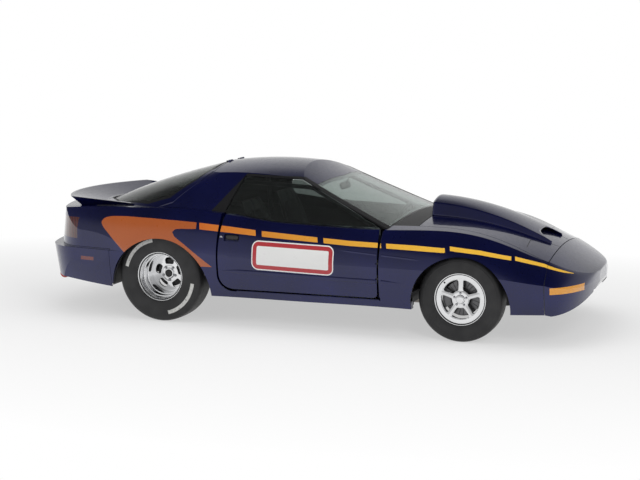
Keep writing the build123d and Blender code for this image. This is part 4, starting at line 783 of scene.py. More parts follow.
def rim_face(axle, side, inner, outer, window, height, back, first_angle):
    """Five sectors of a wheel face, each a strip from the sector's edge to a rounded window and round to
    the back.

    The window (middle radius, reach, power, half angle by radius) is a superellipse in radius and angle;
    the edge is the sector's box; points slide straight between."""
    middle, reach, power, opening = window
    t = np.linspace(0, 2 * np.pi, 49)
    box = 1 / np.maximum(np.abs(np.cos(t)), np.abs(np.sin(t)))
    edge_r = (inner + outer) / 2 + (outer - inner) / 2 * np.cos(t) * box
    edge_a = np.pi / SPOKES * np.sin(t) * box
    rounded = (np.abs(np.cos(t)) ** power + np.abs(np.sin(t)) ** power) ** (-1 / power)
    hole_r = middle + reach * np.cos(t) * rounded
    hole_a = opening(hole_r) * np.sin(t) * rounded
    share = np.linspace(1, 0, 9)[:, None]
    front_r = hole_r + (edge_r - hole_r) * share
    front_a = hole_a + (edge_a - hole_a) * share
    front_o = height(front_r, front_a)
    lip_r = middle + (hole_r - middle) * 0.95
    lip_a = hole_a * 0.95
    rows_r = np.concatenate([front_r, lip_r[None], lip_r[None], front_r[::-1]])
    rows_a = np.concatenate([front_a, lip_a[None], lip_a[None], front_a[::-1]])
    rows_o = np.concatenate([front_o, front_o[-1:] - 0.003, 0 * front_o[-1:] + back + 0.001,
                             0 * front_o + back])
    shapes = []
    end = np.linspace(-1, 1, 13)
    for sector in range(SPOKES):
        turn = first_angle + 2 * np.pi * sector / SPOKES
        shapes.append(grid(at_wheel(axle, side, rows_o, rows_r, rows_a + turn)))
        wall_a = np.pi / SPOKES * np.tan(end * np.pi / 4)[None, :]
        for radius in (inner, outer):
            wall_o = np.stack([height(radius + 0 * wall_a[0], wall_a[0]), 0 * wall_a[0] + back])
            shapes.append(grid(at_wheel(axle, side, wall_o, radius, wall_a + turn)))
    return shapes


def lug_nuts(axle, side, circle, seat, across, tall, first_angle):
    """Hexagon nuts: a round flange, a six-sided body whose radius is flat / cos of the angle to its nearest
    flat, a dome."""
    turn = np.linspace(0, 2 * np.pi, 37)[None, :]
    hexagon = 1 / np.cos((turn + np.pi / 6) % (np.pi / 3) - np.pi / 6)
    round_part = np.array([0, 1, 1, 0, 0, 0, 0, 0, 0])[:, None]
    size = np.array([1.35, 1.35, 1.25, 0.98, 1.0, 1.0, 0.90, 0.62, 0.0])[:, None] * across
    out = seat + np.array([-0.02, 0.10, 0.16, 0.16, 0.20, 0.78, 0.88, 0.98, 1.0])[:, None] * tall
    radius = size * np.where(round_part > 0, 1.0, np.minimum(hexagon, 1.12))
    shapes = []
    for nut in range(SPOKES):
        angle = first_angle + 2 * np.pi * nut / SPOKES
        hub = (axle[0] + circle * math.cos(angle), axle[1], axle[2] + circle * math.sin(angle))
        shapes.append(grid(at_wheel(hub, side, out, radius, turn)))
    return shapes


def front_height(radius, angle):
    """Front wheel face: nearly flush with the ring, with a crown along the middle of each spoke."""
    away = radius * (np.pi / SPOKES - np.abs(angle))
    crown = 0.0050 * np.clip(1 - away / 0.016, 0, 1) ** 0.8
    return 0.0575 + 0.0065 * np.clip((radius - 0.07) / 0.085, 0, 1) ** 2 + crown


def rear_height(radius, angle):
    """Rear wheel face: a shallow cone that rises towards the hub."""
    return -0.0745 + 0.006 * np.clip((0.158 - radius) / 0.09, 0, 1) + 0 * angle


def front_opening(radius):
    """Half angle of a front window: half a sector less the spoke's half width, which narrows outwards."""
    return np.pi / SPOKES - np.arcsin(np.clip((0.0175 - 0.025 * (radius - 0.07)) / radius, 0, 1))


def rear_opening(radius):
    """Half angle of a rear window: a fixed width over the radius, plus a fixed angle."""
    return 0.026 / radius + 0.16


def wheels():
    """Tyres, rims, nuts, valves, caps and brake discs of the four wheels."""
    up = np.pi / 2
    for name, side in SIDES:
        body = f"front_wheel_{name}"
        piece(f"front_tyre_{name}_round", [turned(FRONT_TYRE, FRONT_AXLE, side)], FRONT_RUBBER, body,
              (f"front_tyre_{name}",))
        face = rim_face(FRONT_AXLE, side, inner=0.062, outer=0.160,
                        window=(0.112, 0.043, 9.0, front_opening), height=front_height, back=0.043,
                        first_angle=up + np.pi / SPOKES)
        rim = [turned(FRONT_BARREL, FRONT_AXLE, side), turned(FRONT_HUB, FRONT_AXLE, side, 80)] + face
        piece(f"front_rim_{name}_spoked", rim, POLISHED, body, (f"front_rim_{name}",),
              sharp=30.0)
        nuts = lug_nuts(FRONT_AXLE, side, circle=0.050, seat=0.0638, across=0.0072, tall=0.0105,
                        first_angle=up)
        piece(f"front_nuts_{name}", nuts, NUT_METAL, body)
        valve = (FRONT_AXLE[0] + VALVE_RADIUS * math.cos(VALVE_ANGLE), FRONT_AXLE[1],
                 FRONT_AXLE[2] + VALVE_RADIUS * math.sin(VALVE_ANGLE))
        piece(f"front_valve_{name}", [turned(VALVE, valve, side, 20)], TRIM, body)
        piece(f"front_disc_{name}", [turned(DISC, FRONT_AXLE, side, 96)], DISC_IRON, body,
              (f"brake_disc_{name}",))
        piece(f"front_bell_{name}", [turned(BELL, FRONT_AXLE, side, 64)], DARK_STEEL, body)
        body = f"rear_wheel_{name}"
        piece(f"rear_tyre_{name}_slick", [turned(REAR_TYRE, REAR_AXLE, side)], REAR_RUBBER, body,
              (f"rear_tyre_{name}",))
        face = rim_face(REAR_AXLE, side, inner=0.070, outer=0.160,
                        window=(0.106, 0.0285, 3.2, rear_opening), height=rear_height, back=-0.088,
                        first_angle=up)
        rim = [turned(REAR_BARREL, REAR_AXLE, side), turned(REAR_HUB, REAR_AXLE, side, 80)] + face
        piece(f"rear_rim_{name}_dished", rim, POLISHED, body, (f"rear_rim_{name}",),
              sharp=30.0)
        nuts = lug_nuts(REAR_AXLE, side, circle=0.0575, seat=-0.0697, across=0.0082, tall=0.018,
                        first_angle=up + np.pi / SPOKES)
        piece(f"rear_nuts_{name}", nuts, NUT_METAL, body)
        piece(f"rear_cap_{name}", [turned(REAR_CAP, REAR_AXLE, side, 48)], TRIM, body)


def rear_axle_beam():
    """Axle tube from wheel to wheel that swells into the differential: radius by a smooth bump about the
    middle."""
    y = np.linspace(-AXLE_END, AXLE_END, 121)
    bump = np.exp(-(y / 0.125) ** 4)
    radius = 0.041 + 0.095 * bump + 0.014 * np.exp(-((np.abs(y) - 0.60) / 0.02) ** 4)
    turn = np.linspace(0, 2 * np.pi, 49)[None, :]
    x = REAR_AXLE[0] - 0.02 * bump[:, None] + radius[:, None] * np.cos(turn) * (1 + 0.25 * bump[:, None])
    z = REAR_AXLE[2] + radius[:, None] * np.sin(turn)
    shell = np.stack(np.broadcast_arrays(x, y[:, None], z), -1)
    ends = [np.repeat(np.array([[[REAR_AXLE[0], s * AXLE_END, REAR_AXLE[2]]]]), 49, 1) for s in (-1, 1)]
    shapes = [grid(np.concatenate([ends[0], shell, ends[1]]))]
    shapes += [turned(AXLE_PLATE, REAR_AXLE, side, 64) for side in (-1, 1)]
    piece("rear_axle_beam", shapes, DARK_STEEL, "chassis", ("rear_axle",))


def front_brakes():
    """Calipers that straddle the discs: rounded sections of (out, radius) carried along an arc behind the
    axle."""
    angle = np.linspace(np.radians(148), np.radians(212), 21)
    turn = np.linspace(0, 2 * np.pi, 25)
    for name, side in SIDES:
        shapes = []
        for out, radius, half_out, half_radius in CALIPER:
            flat_out = out + half_out * np.sign(np.cos(turn)) * np.abs(np.cos(turn)) ** 0.4
            flat_radius = radius + half_radius * np.sign(np.sin(turn)) * np.abs(np.sin(turn)) ** 0.4
            ends = np.array([0.0] + [1.0] * 21 + [0.0])[:, None]
            along = np.concatenate([angle[:1], angle, angle[-1:]])[:, None]
            shapes.append(grid(at_wheel(FRONT_AXLE, side, out + (flat_out - out)[None] * ends,
                                        radius + (flat_radius - radius)[None] * ends, along)))
        piece(f"front_caliper_{name}", shapes, IRON, f"steering_{name}")


# Cabin

SEAT_PLACE = (-0.494, 0.385, 0.282)
SEAT_HALF = 0.225
SEAT_WING = 0.085
SEAT_LEAN = ((-0.296, 0, 0.955), (0, 1, 0), (0.955, 0, 0.296))
SEAT_LEVEL = ((1, 0, 0.10), (0, 1, 0), (-0.10, 0, 1))
BELT_WIDE = 0.046
BELT_THICK = 0.004
SEAT_LINE = ((0.592, 0.060), (0.590, 0.110), (0.560, 0.150), (0.450, 0.142), (0.300, 0.118), (0.205, 0.105),
             (0.160, 0.135), (0.120, 0.240), (0.060, 0.430), (0.005, 0.610), (-0.030, 0.715))


def seats():
    """Racing buckets: a thin shell from a side line whose wings rise along the line's normal by the power
    1.6 of the width past a flat middle, two sewn pads and a harness."""
    for name, side in SIDES:
        y = side * SEAT_PLACE[1]
        line = smooth(SEAT_LINE, 8)
        tangent = np.gradient(line, axis=0)
        tangent /= np.linalg.norm(tangent, axis=1)[:, None]
        normal = np.stack([tangent[:, 1], -tangent[:, 0]], 1)
        part = np.linspace(0, 1, len(line))[:, None]
        across = np.linspace(-1, 1, 41)[None, :]
        fade = np.clip(np.sin(np.pi * (0.10 + 0.86 * part)), 0, 1)
        wing = SEAT_WING * fade * np.clip((np.abs(across) - 0.62) / 0.38, 0, 1) ** 1.6
        narrow = SEAT_HALF - 0.045 * np.clip((part - 0.80) / 0.20, 0, 1) ** 2
        x = SEAT_PLACE[0] + line[:, :1] + normal[:, :1] * wing
        height = SEAT_PLACE[2] + line[:, 1:] + normal[:, 1:] * wing
        shell = grid(np.stack(np.broadcast_arrays(x, y + narrow * across, height), -1))
        made = piece(f"seat_shell_{name}", [shell], SHELL, "chassis", (f"seat_{name}",))
        walled(made, 0.012)
        base = pillow((-0.115, y, 0.428), SEAT_LEVEL, (0.165, 0.158, 0.026), power=5.0, crown=0.22,
                      channels=4)
        piece(f"seat_cushion_{name}", [base], SEAT_CLOTH, "chassis", sharp=60.0)
        rest = pillow((-0.388, y, 0.690), SEAT_LEAN, (0.235, 0.152, 0.026), power=5.0, crown=0.22,
                      channels=6)
        piece(f"seat_backrest_{name}", [rest], SEAT_CLOTH, "chassis", sharp=60.0)
        foot = [tube([(-0.30 + step, y + reach, z) for z in (0.284, 0.330, 0.395)], 0.014)
                for step in (0.05, 0.33) for reach in (-0.13, 0.13)]
        piece(f"seat_feet_{name}", foot, DARK_STEEL, "chassis")
        belts = []
        for reach in (-0.070, 0.070):
            shoulder = ((-0.520, y + reach * 0.8, 0.985), (-0.478, y + reach * 0.8, 0.996),
                        (-0.440, y + reach, 0.930), (-0.370, y + reach, 0.700), (-0.300, y + reach, 0.520),
                        (-0.235, y + reach * 0.45, 0.468))
            lap = ((-0.270, y + reach * 2.4, 0.440), (-0.240, y + reach * 1.7, 0.462),
                   (-0.225, y + reach * 0.9, 0.468), (-0.222, y + reach * 0.2, 0.470))
            belts.append(strap(shoulder, SEAT_LEAN[1], BELT_WIDE, BELT_THICK))
            belts.append(strap(lap, SEAT_LEAN[2], BELT_WIDE, BELT_THICK))
        piece(f"seat_harness_{name}", belts, BELT, "chassis")
        buckle = spun(((0.0, 0.0), (0.0, 0.026), (0.006, 0.027), (0.010, 0.024), (0.011, 0.0)),
                      (-0.228, y, 0.468), (0.35, 0, 0.94))
        piece(f"seat_buckle_{name}", [buckle], NUT_METAL, "chassis")


# Dash gauges: distance from the middle, height and radius, with their plane and the way they face
GAUGES = ((0.300, 0.705, 0.036), (0.385, 0.712, 0.046), (0.470, 0.705, 0.036), (0.19, 0.700, 0.027),
          (0.11, 0.700, 0.027))
GAUGE_X = 0.7475
GAUGE_BACK = (0.97, 0, -0.24)
POD_PLACE = (0.690, 0.46, 0.842)
POD_BACK = (0.98, 0, 0.2)


def dials():
    """Round gauges on the dash and a large one on its top: a bezel ring, a shallow can and a face."""
    can = ((0.030, 0.0), (0.030, 1.0), (-0.002, 1.0), (-0.006, 0.98), (-0.006, 0.90), (-0.001, 0.88))
    face = ((-0.0012, 0.90), (-0.0012, 0.45), (-0.0012, 0.0))
    bezels = []
    faces = []
    for y, z, radius in GAUGES:
        place = (GAUGE_X, y, z)
        bezels.append(spun([(o, r * radius) for o, r in can], place, GAUGE_BACK))
        faces.append(spun([(o, r * radius) for o, r in face], place, GAUGE_BACK))
    pod = ((-0.008, 0.040), (-0.008, 0.045), (-0.004, 0.047), (0.040, 0.047), (0.054, 0.041), (0.060, 0.0))
    bezels.append(spun(pod, POD_PLACE, POD_BACK))
    stand = ((0.0, 0.0), (0.0, 0.010), (0.060, 0.010), (0.060, 0.0))
    bezels.append(spun(stand, (0.742, 0.46, 0.780), (-0.35, 0, 0.94)))
    faces.append(spun(((-0.004, 0.042), (-0.004, 0.022), (-0.004, 0.0)), POD_PLACE, POD_BACK))
    piece("dash_bezels", bezels, TRIM, "chassis")
    piece("dash_dial_faces", faces, DIAL, "chassis")


def inside_mirror():
    """A rounded mirror on a short stalk under the windscreen's top edge."""
    axes = ((0, 1, 0), (-0.2, 0, 0.98), (0.98, 0, 0.2))
    shell = pillow((0.205, 0.0, 1.098), axes, (0.115, 0.032, 0.014), power=5.0)
    stalk = tube(smooth(((0.236, 0.0, 1.156), (0.226, 0.0, 1.140), (0.212, 0.0, 1.108)), 6), 0.006)
    piece("inside_mirror_shell", [shell, stalk], TRIM, "chassis", sharp=60.0)
    glass = pillow((0.1935, 0.0, 1.0960), axes, (0.107, 0.027, 0.004), power=5.0)
    piece("inside_mirror_glass", [glass], NUT_METAL, "chassis", sharp=60.0)


def door_handles():
    """A paddle in each handle recess, and a lock barrel behind it, set on the door's skin."""
    for name, side in SIDES:
        skin = landed((f"door_{name}",), ((-0.360, 0.745), (-0.545, 0.748)), 1, side)
        y = side * (abs(skin[:, 1].mean()) - 0.0105)
        axes = ((1, 0, 0), (0, 0, 1), (0, side, 0))
        paddle = pillow((-0.455, y, 0.746), axes, (0.056, 0.0195, 0.0065), power=4.0, crown=0.3)
        pull = pillow((-0.462, y + side * 0.0045, 0.734), axes, (0.044, 0.005, 0.004), power=3.0)
        piece(f"door_handle_{name}", [paddle, pull], TRIM, f"door_{name}", sharp=60.0)
        barrel = ((-0.004, 0.0), (-0.004, 0.0115), (0.0012, 0.0115), (0.0018, 0.0105), (0.0018, 0.0075),
                  (0.0008, 0.0070), (0.0008, 0.0))
        lock = spun(barrel, skin[1], (0, side, 0), 40)
        piece(f"door_lock_{name}", [lock], NUT_METAL, f"door_{name}")


def screen_mouldings():
    """Thin bright strips down both sides of the windscreen, set on the surface between glass and pillar."""
    share = np.linspace(0.02, 0.98, 40)[:, None]
    for name, side in SIDES:
        plan = np.array([[0.846, side * 0.717]]) * (1 - share) + np.array([[0.160, side * 0.549]]) * share
        path = landed(("roof_frame", "windshield"), plan, 2, 1.0)
        strip = ribbon(path, (0.30, side * 0.45, 0.84), 0.009, 0.0025)
        piece(f"screen_moulding_{name}", [strip], NUT_METAL, "chassis")


# Where creases stop at the front shut line, the size of fine seams, and the way the hood's skin faces
DOOR_FRONT_X = 0.782
FENDER_REAR_X = 0.822
SEAM_WIDE = 0.005
SEAM_TALL = 0.0008
HOOD_UP = (0.3, 0, 0.95)


def side_creases():
    """Two soft character lines along each side: low ribbons on the skin whose width fades as a sine to both
    ends."""
    lower = np.array(((-0.584, 0.478), (-0.198, 0.474), (0.147, 0.468), (0.569, 0.461), (0.842, 0.4585),
                      (1.000, 0.455)))
    upper = np.array(((0.43, 0.692), (0.454, 0.690), (0.646, 0.6757), (0.845, 0.6627), (0.976, 0.6544),
                      (1.150, 0.643)))
    for name, side in SIDES:
        for label, line, wide, tall in (("lower", lower, 0.034, 0.0060), ("upper", upper, 0.018, 0.0030)):
            first, last = line[0, 0] + 0.03, line[-1, 0]
            door = (f"door_{name}", f"door_{name}", first, DOOR_FRONT_X)
            fender = (f"front_fender_{name}", "chassis", FENDER_REAR_X, last)
            for node, body, start, end in (door, fender):
                x = np.linspace(start, end, 70)
                path = landed((node,), np.stack([x, np.interp(x, line[:, 0], line[:, 1])], 1), 1, side)
                part = (path[:, 0] - first) / (last - first)
                fade = np.clip(np.sin(np.pi * np.clip(part, 0.001, 0.999)) * 3.0, 0.02, 1.0)
                crease = ribbon(path, (0, side, 0.0), wide * fade, tall * fade)
                piece(f"{node}_{label}_crease", [crease], PAINT, body, sharp=80.0)


def door_edges():
    """Rounded lips on the fender and sill that close most of the shut lines: ribbons sunk into the skin's
    edge."""
    for name, side in SIDES:
        z = np.linspace(0.330, 0.842, 60)
        front = landed((f"front_fender_{name}",), np.stack([0 * z + 0.8155, z], 1), 1, side)
        front += (-0.0045, -side * 0.0022, 0.0)
        lip = ribbon(front, (0, side, 0), 0.016, 0.0024)
        piece(f"front_fender_{name}_edge", [lip], PAINT_SIDES, "chassis", sharp=80.0)
        x = np.linspace(-0.420, 0.800, 90)
        sill = landed((f"rocker_{name}",), np.stack([x, 0 * x + 0.298], 1), 1, side)
        sill += (0.0, -side * 0.0022, 0.0065)
        lip = ribbon(sill, (0, side, 0), 0.015, 0.0024)
        piece(f"rocker_{name}_edge", [lip], PAINT, "chassis", sharp=80.0)


def fascia_seams():
    """Painted shade of the seam between nose and fender: a fine black ribbon on the skin, from the sill up
    to the hood.
    """
    for name, side in SIDES:
        z = np.linspace(0.262, 0.640, 60)
        path = landed(("front_fascia",), np.stack([0 * z + 2.0915, z], 1), 1, side)
        # The black ribbon is painted shade: it stands for the dark of the gap between the panels.
        seam = ribbon(path + (-0.0015, 0, 0), (0.15, side * 0.98, 0.05), SEAM_WIDE, SEAM_TALL)
        piece(f"fascia_seam_{name}", [seam], TRIM, "chassis")


# Hood scoop: its ends, its mouth's lip and plate, its foot's half width by x, and its section's upper edge
SCOOP_REAR = 1.046
SCOOP_FRONT = 2.022
SCOOP_LIP = 1.905
SCOOP_PLATE = 1.872
SCOOP_FOOT = ((1.046, 0.262), (1.534, 0.262), (1.854, 0.247), (2.024, 0.226))
SCOOP_EDGE_SHARE = 0.74
SCOOP_TURN = 0.70
SCOOP_LEAN = 0.40


def scoop_skin(reach, rows, sink):
    """The scoop over the hood: leaning sides up to a crisp edge and a low crowned top, cut back to a lip in
    the middle.

    The first parameter runs from rear to front, the second from foot to foot; the corner is rounded by
    averaging neighbouring places on the section."""
    turn = np.concatenate([np.linspace(-1, -0.76, 7), np.linspace(-0.74, -0.66, 9),
                           np.linspace(-0.6, 0.6, 25), np.linspace(0.66, 0.74, 9), np.linspace(0.76, 1, 7)])
    cut = SCOOP_LIP + (SCOOP_FRONT - SCOOP_LIP) * np.clip(np.abs(turn) / SCOOP_TURN, 0, 1) ** 5
    x = SCOOP_REAR + (np.minimum(cut, reach) - SCOOP_REAR)[None, :] * np.linspace(0, 1, rows)[:, None]
    line = np.linspace(SCOOP_REAR + 0.001, SCOOP_FRONT - 0.001, 60)
    crest = landed(("hood_scoop",), np.stack([line, 0 * line], 1), 2, 1.0)
    deck = landed(("hood", "cowl"), np.stack([line, 0 * line], 1), 2, 1.0)
    top = np.interp(x, crest[:, 0], crest[:, 2])
    base = np.interp(x, deck[:, 0], deck[:, 2]) - 0.006
    foot = np.interp(x, *np.array(SCOOP_FOOT).T)
    tall = top - base
    edge = foot - SCOOP_LEAN * SCOOP_EDGE_SHARE * tall
    high = base + SCOOP_EDGE_SHARE * tall

    def section(t):
        """Across and up at a place on the section: a parabola inside the edge, straight sides outside it."""
        inner = np.clip(np.abs(t) / SCOOP_TURN, 0, 1)
        outer = np.clip((np.abs(t) - SCOOP_TURN) / (1 - SCOOP_TURN), 0, 1)
        y = np.sign(t) * (edge * inner + (foot - edge) * outer)
        z = np.where(np.abs(t) < SCOOP_TURN, high + (top - high) * (1 - inner**2),
                     high + (base - high) * outer)
        return y, z

    (y0, z0), (y1, z1), (y2, z2) = (section(turn[None, :] + step) for step in (-0.02, 0.0, 0.02))
    y = np.where(np.abs(turn) > 0.97, y1, (y0 + 2 * y1 + y2) / 4)
    z = np.where(np.abs(turn) > 0.97, z1, (z0 + 2 * z1 + z2) / 4) - sink
    return np.stack([x, y, z], -1), base


def hood_scoop_shell():
    """The scoop's thin skin, and black plates across its mouth and its rear opening, painted shade that
    closes the view into the scoop.
    """
    skin = scoop_skin(SCOOP_FRONT, 61, 0.0)[0]
    made = piece("hood_scoop_skin", [grid(skin)], PAINT, "hood", ("hood_scoop",), sharp=50.0)
    walled(made, 0.006, -1.0)
    # The black plates are painted shade: they fill the scoop's openings with black where its inside would be
    # in shadow.
    plates = []
    inner, low = scoop_skin(SCOOP_PLATE, 41, 0.004)
    share = np.linspace(0, 1, 7)[:, None]
    for row in (-1, 2):
        plate = np.repeat(inner[row][None], 7, 0)
        plate[..., 2] = low[row] - 0.004 + (inner[row][:, 2] - low[row]) * share
        plates.append(grid(plate))
    made = piece("hood_scoop_shade_plates", plates, TRIM, "hood", sharp=50.0)
    walled(made, 0.003)


def spaced(knots, side):
    """Ninety points along straight spans between (x, half width) knots, on one side of the car."""
    share = np.linspace(0, 1, 90)
    part = np.linspace(0, 1, len(knots))
    return np.stack([np.interp(share, part, knots[:, 0]), side * np.interp(share, part, knots[:, 1])], 1)


def lid_seams():
    """Painted shade of the gaps round the two lamp lids on the hood, and along the hatch's sides: fine black
    ribbons set on the skin."""
    lid = np.array(((1.893, 0.560), (1.890, 0.500), (1.884, 0.430), (1.880, 0.355), (1.940, 0.284),
                    (2.020, 0.222), (2.080, 0.190)))
    rail = np.array(((-0.798, 0.459), (-0.884, 0.564), (-1.074, 0.704), (-1.194, 0.732), (-1.334, 0.734),
                     (-1.80, 0.700)))
    for name, side in SIDES:
        line = landed(("hood",), spaced(lid, side), 2, 1.0)
        # The black ribbon is painted shade of the gap round the lamp lid.
        seam = ribbon(line, HOOD_UP, SEAM_WIDE, SEAM_TALL)
        piece(f"lamp_lid_seam_{name}", [seam], TRIM, "hood")
        line = landed(("roof_frame", f"quarter_panel_{name}"), spaced(rail, side), 2, 1.0)
        # The black ribbon is painted shade of the hatch's shut line.
        seam = ribbon(line, (0, side * 0.6, 0.8), 0.016, 0.0022)
        piece(f"hatch_seam_{name}", [seam], TRIM, "chassis")


def nose_grille():
    """Black slats behind the nose's lower opening, and a black strip under the gap between hood and nose as
    painted shade in that gap:
    the slats are a sheet whose depth waves with height, the strip a ribbon just below the skin."""
    y = np.linspace(-0.42, 0.42, 43)[None, :]
    z = np.linspace(0.246, 0.430, 93)[:, None]
    x = 2.150 + 0.007 * np.sin(2 * np.pi * z / 0.0185) - 0.10 * y**2
    slats = grid(np.stack(np.broadcast_arrays(x, y, z), -1))
    walled(piece("nose_grille", [slats], TRIM, "chassis", sharp=80.0), 0.004)
    across = np.linspace(-0.66, 0.66, 80)
    line = landed(("front_fascia",), np.stack([0 * across + 2.096, across], 1), 2, 1.0)
    line = line + (-0.0075, 0, -0.016)
    # The black strip is painted shade: it darkens the gap between hood and nose.
    strip = ribbon(line, HOOD_UP, 0.026, 0.0015)
    piece("hood_gap_shade_strip", [strip], TRIM, "chassis")


RADIATOR_X = 1.985


def engine_dressing():
    """Finned valve covers, an air cleaner and a radiator: channelled pillows that lean outwards, a turned
    drum, and a sheet whose depth waves across the car."""
    covers = []
    for side in (-1, 1):
        axes = ((1, 0, 0), (0, 0.87, -0.5 * side), (0, 0.5 * side, 0.87))
        covers.append(pillow((1.32, side * 0.200, 0.742), axes, (0.220, 0.062, 0.030), power=5.0,
                             crown=0.15, channels=8))
    piece("engine_valve_covers", covers, POLISHED, "chassis", sharp=60.0)
    drum = ((0.0, 0.0), (0.0, 0.150), (0.004, 0.155), (0.009, 0.155), (0.012, 0.148), (0.048, 0.148),
            (0.051, 0.155), (0.056, 0.155), (0.062, 0.148), (0.066, 0.060), (0.067, 0.012), (0.072, 0.010),
            (0.072, 0.0))
    cleaner = spun(drum, (1.36, 0.0, 0.748), (0, 0, 1), 72)
    piece("engine_air_cleaner", [cleaner], NUT_METAL, "chassis")
    y = np.linspace(-0.36, 0.36, 193)[None, :]
    z = np.linspace(0.30, 0.60, 13)[:, None]
    x = RADIATOR_X + 0.005 * np.sin(2 * np.pi * y / 0.03) + 0 * z
    core = grid(np.stack(np.broadcast_arrays(x, y, z), -1))
    walled(piece("radiator_core", [core], DARK_STEEL, "chassis", sharp=80.0), 0.030)
    axes = ((0, 1, 0), (1, 0, 0), (0, 0, 1))
    tanks = [pillow((RADIATOR_X, 0.0, height), axes, (0.372, 0.026, 0.020), power=6.0)
             for height in (0.300, 0.605)]
    piece("radiator_tanks", tanks, NUT_METAL, "chassis", sharp=60.0)


# Wheel liners: arch middle (x, z) and reach, the axle with the hole round it, and the inner wall's distance
LINERS = (("rear", (-1.107, 0.254), 0.472, REAR_AXLE, 0.125, 0.575),
          ("front", (1.434, 0.300), 0.435, FRONT_AXLE, 0.150, 0.450))
LINER_OUT = 0.855


def wheel_liners():
    """Black tubs over the wheels: a bowed sheet round each arch, and a wall inboard that runs in towards
    the axle."""
    for label, arch, reach, axle, hole, inboard in LINERS:
        angle = np.linspace(np.radians(4), np.radians(176), 65)[:, None]
        rim = np.stack([arch[0] + reach * np.cos(angle), 0 * angle, arch[1] + reach * np.sin(angle)], -1)
        core = np.stack([axle[0] + hole * np.cos(angle), 0 * angle, axle[2] + hole * np.sin(angle)], -1)
        share = np.linspace(0, 1, 9)[None, :, None]
        wide = np.linspace(0, 1, 9)[None, :]
        for name, side in SIDES:
            wall = core + (rim - core) * share
            wall[..., 1] = side * inboard
            sheet = np.repeat(rim, 9, 1)
            sheet[..., 1] = side * (inboard + (LINER_OUT - inboard) * wide)
            tub = [grid(wall), grid(sheet)]
            made = piece(f"{label}_wheel_liner_{name}", tub, TRIM, "chassis", sharp=60.0)
            walled(made, 0.004)


ROLLER_AXLE = (-2.349, 0.0, 0.265)
ROLLER_OUT = 0.340


def rollers():
    """Red rollers with dark hubs on one axle at the tail: crowned treads turned about the axle."""
    tread = ((-0.022, 0.018), (-0.022, 0.040), (-0.020, 0.0435), (-0.012, 0.0448), (0.0, 0.0450),
             (0.012, 0.0448), (0.020, 0.0435), (0.022, 0.040), (0.022, 0.018), (-0.022, 0.018))
    hub = ((-0.0215, 0.0), (-0.0215, 0.0195), (-0.019, 0.0205), (0.019, 0.0205), (0.0215, 0.0195),
           (0.0215, 0.0))
    reds = []
    hubs = []
    for side in (-1, 1):
        place = (ROLLER_AXLE[0], side * ROLLER_OUT, ROLLER_AXLE[2])
        reds.append(spun(tread, place, (0, 1, 0), 64))
        hubs.append(spun(hub, place, (0, 1, 0), 40))
    rod = ((-0.3610, 0.0), (-0.3610, 0.0075), (0.3610, 0.0075), (0.3610, 0.0))
    shaft = spun(rod, ROLLER_AXLE, (0, 1, 0), 24)
    piece("wheelie_roller_treads", reds, ROLLER_RED, "wheelie_roller", ("wheelie_wheel",))
    piece("wheelie_roller_hubs", hubs + [shaft], DARK_STEEL, "wheelie_roller")


# Studio

# Soft lamps: name, place, width and height, power
SOFTBOXES = (("overhead_softbox", (0.2, -0.4, 4.4), (5.5, 3.6), 95.0),
             ("key_softbox", (5.0, -6.0, 4.2), (2.6, 2.6), 140.0),
             ("fill_softbox", (-6.0, -5.0, 3.2), (2.4, 2.4), 80.0))
FLOOR_REACH = 90.0


def studio_world():
    """White to the camera and through glass, even light elsewhere, and in mirrors a wall that darkens
    upwards."""
    world = bpy.data.worlds.new("studio")
    bpy.context.scene.world = world
    world.use_nodes = True
    tree = world.node_tree
    path = tree.nodes.new("ShaderNodeLightPath")
    seen = tree.nodes.new("ShaderNodeMath")
    seen.operation = "MAXIMUM"
    tree.links.new(path.outputs["Is Camera Ray"], seen.inputs[0])
    tree.links.new(path.outputs["Is Transmission Ray"], seen.inputs[1])
    direction = tree.nodes.new("ShaderNodeSeparateXYZ")
    tree.links.new(tree.nodes.new("ShaderNodeTexCoord").outputs["Generated"], direction.inputs[0])
    wall = tree.nodes.new("ShaderNodeValToRGB")
    tree.links.new(direction.outputs[2], wall.inputs[0])
    wall.color_ramp.interpolation = "B_SPLINE"
    for spot, (rise, glow) in enumerate(MIRRORED_WALL):
        stop = wall.color_ramp.elements[spot] if spot < 2 else wall.color_ramp.elements.new(rise)
        stop.position = rise
        stop.color = (glow, glow, glow, 1.0)
    mirrored = tree.nodes.new("ShaderNodeMapRange")
    tree.links.new(path.outputs["Is Glossy Ray"], mirrored.inputs[0])
    mirrored.inputs[3].default_value = AMBIENT
    tree.links.new(wall.outputs[0], mirrored.inputs[4])
    level = tree.nodes.new("ShaderNodeMapRange")
    tree.links.new(seen.outputs[0], level.inputs[0])
    tree.links.new(mirrored.outputs[0], level.inputs[3])
    level.inputs[4].default_value = 1.0
    tree.links.new(level.outputs[0], tree.nodes["Background"].inputs["Strength"])
    tree.nodes["Background"].inputs["Color"].default_value = (1, 1, 1, 1)


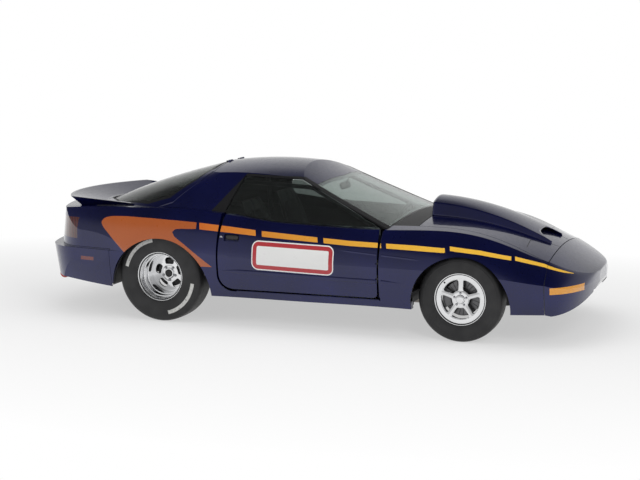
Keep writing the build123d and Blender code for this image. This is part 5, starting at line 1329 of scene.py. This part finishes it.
def studio_floor():
    """A pale floor that keeps the shadow near the car and glows to white with distance."""
    mesh = bpy.data.meshes.new("studio_floor")
    reach = np.linspace(-FLOOR_REACH, FLOOR_REACH, 3)
    x, y = np.meshgrid(reach, reach, indexing="ij")
    points, quads, _ = grid(np.stack([x, y, 0 * x], -1))
    mesh.from_pydata(points, [], quads)
    floor = bpy.data.objects.new("studio_floor", mesh)
    bpy.context.scene.collection.objects.link(floor)
    f = Finish("studio_floor_white", Roughness=0.9, Specular_IOR_Level=0.1)
    f.feed("Base Color", f.mix(f.noise(1.2, 2.0), (0.86, 0.86, 0.86, 1.0), (0.88, 0.88, 0.88, 1.0)))
    path = f.node("ShaderNodeLightPath")
    seen = f.larger(f.larger(path.outputs["Is Camera Ray"], path.outputs["Is Glossy Ray"]),
                    path.outputs["Is Transmission Ray"])
    x, y, _ = f.xyz()
    away = f.root(f.plus(f.times(f.times(x, x), 0.3), f.times(y, y)))
    glow = f.times(seen, f.ranged(away, 1.4, 4.0, 0.50, 1.0))
    light = f.node("ShaderNodeEmission", {"Color": (1, 1, 1, 1), "Strength": 1.0})
    both = f.node("ShaderNodeMixShader", {0: glow, 1: f.shader.outputs[0], 2: light.outputs[0]})
    f.tree.links.new(both.outputs[0], f.tree.nodes["Material Output"].inputs["Surface"])
    mesh.materials.append(f.material)


def studio_lamps():
    """Three soft lamps aimed at the car, which mirrors and glass don't show."""
    for name, place, size, power in SOFTBOXES:
        data = bpy.data.lights.new(name, "AREA")
        data.shape = "RECTANGLE"
        data.size, data.size_y = size
        data.energy = power
        lamp = bpy.data.objects.new(name, data)
        lamp.location = place
        aim = Vector((0.0, 0.0, 0.5)) - Vector(place)
        lamp.visible_glossy = False
        lamp.visible_transmission = False
        lamp.rotation_euler = aim.to_track_quat("-Z", "Y").to_euler()
        bpy.context.scene.collection.objects.link(lamp)


photo_camera()
dress_nodes()
wheels()
rear_axle_beam()
front_brakes()
seats()
dials()
inside_mirror()
door_handles()
screen_mouldings()
side_creases()
door_edges()
fascia_seams()
hood_scoop_shell()
lid_seams()
nose_grille()
engine_dressing()
wheel_liners()
rollers()
studio_world()
studio_floor()
studio_lamps()
bpy.context.scene.view_settings.view_transform = "Standard"
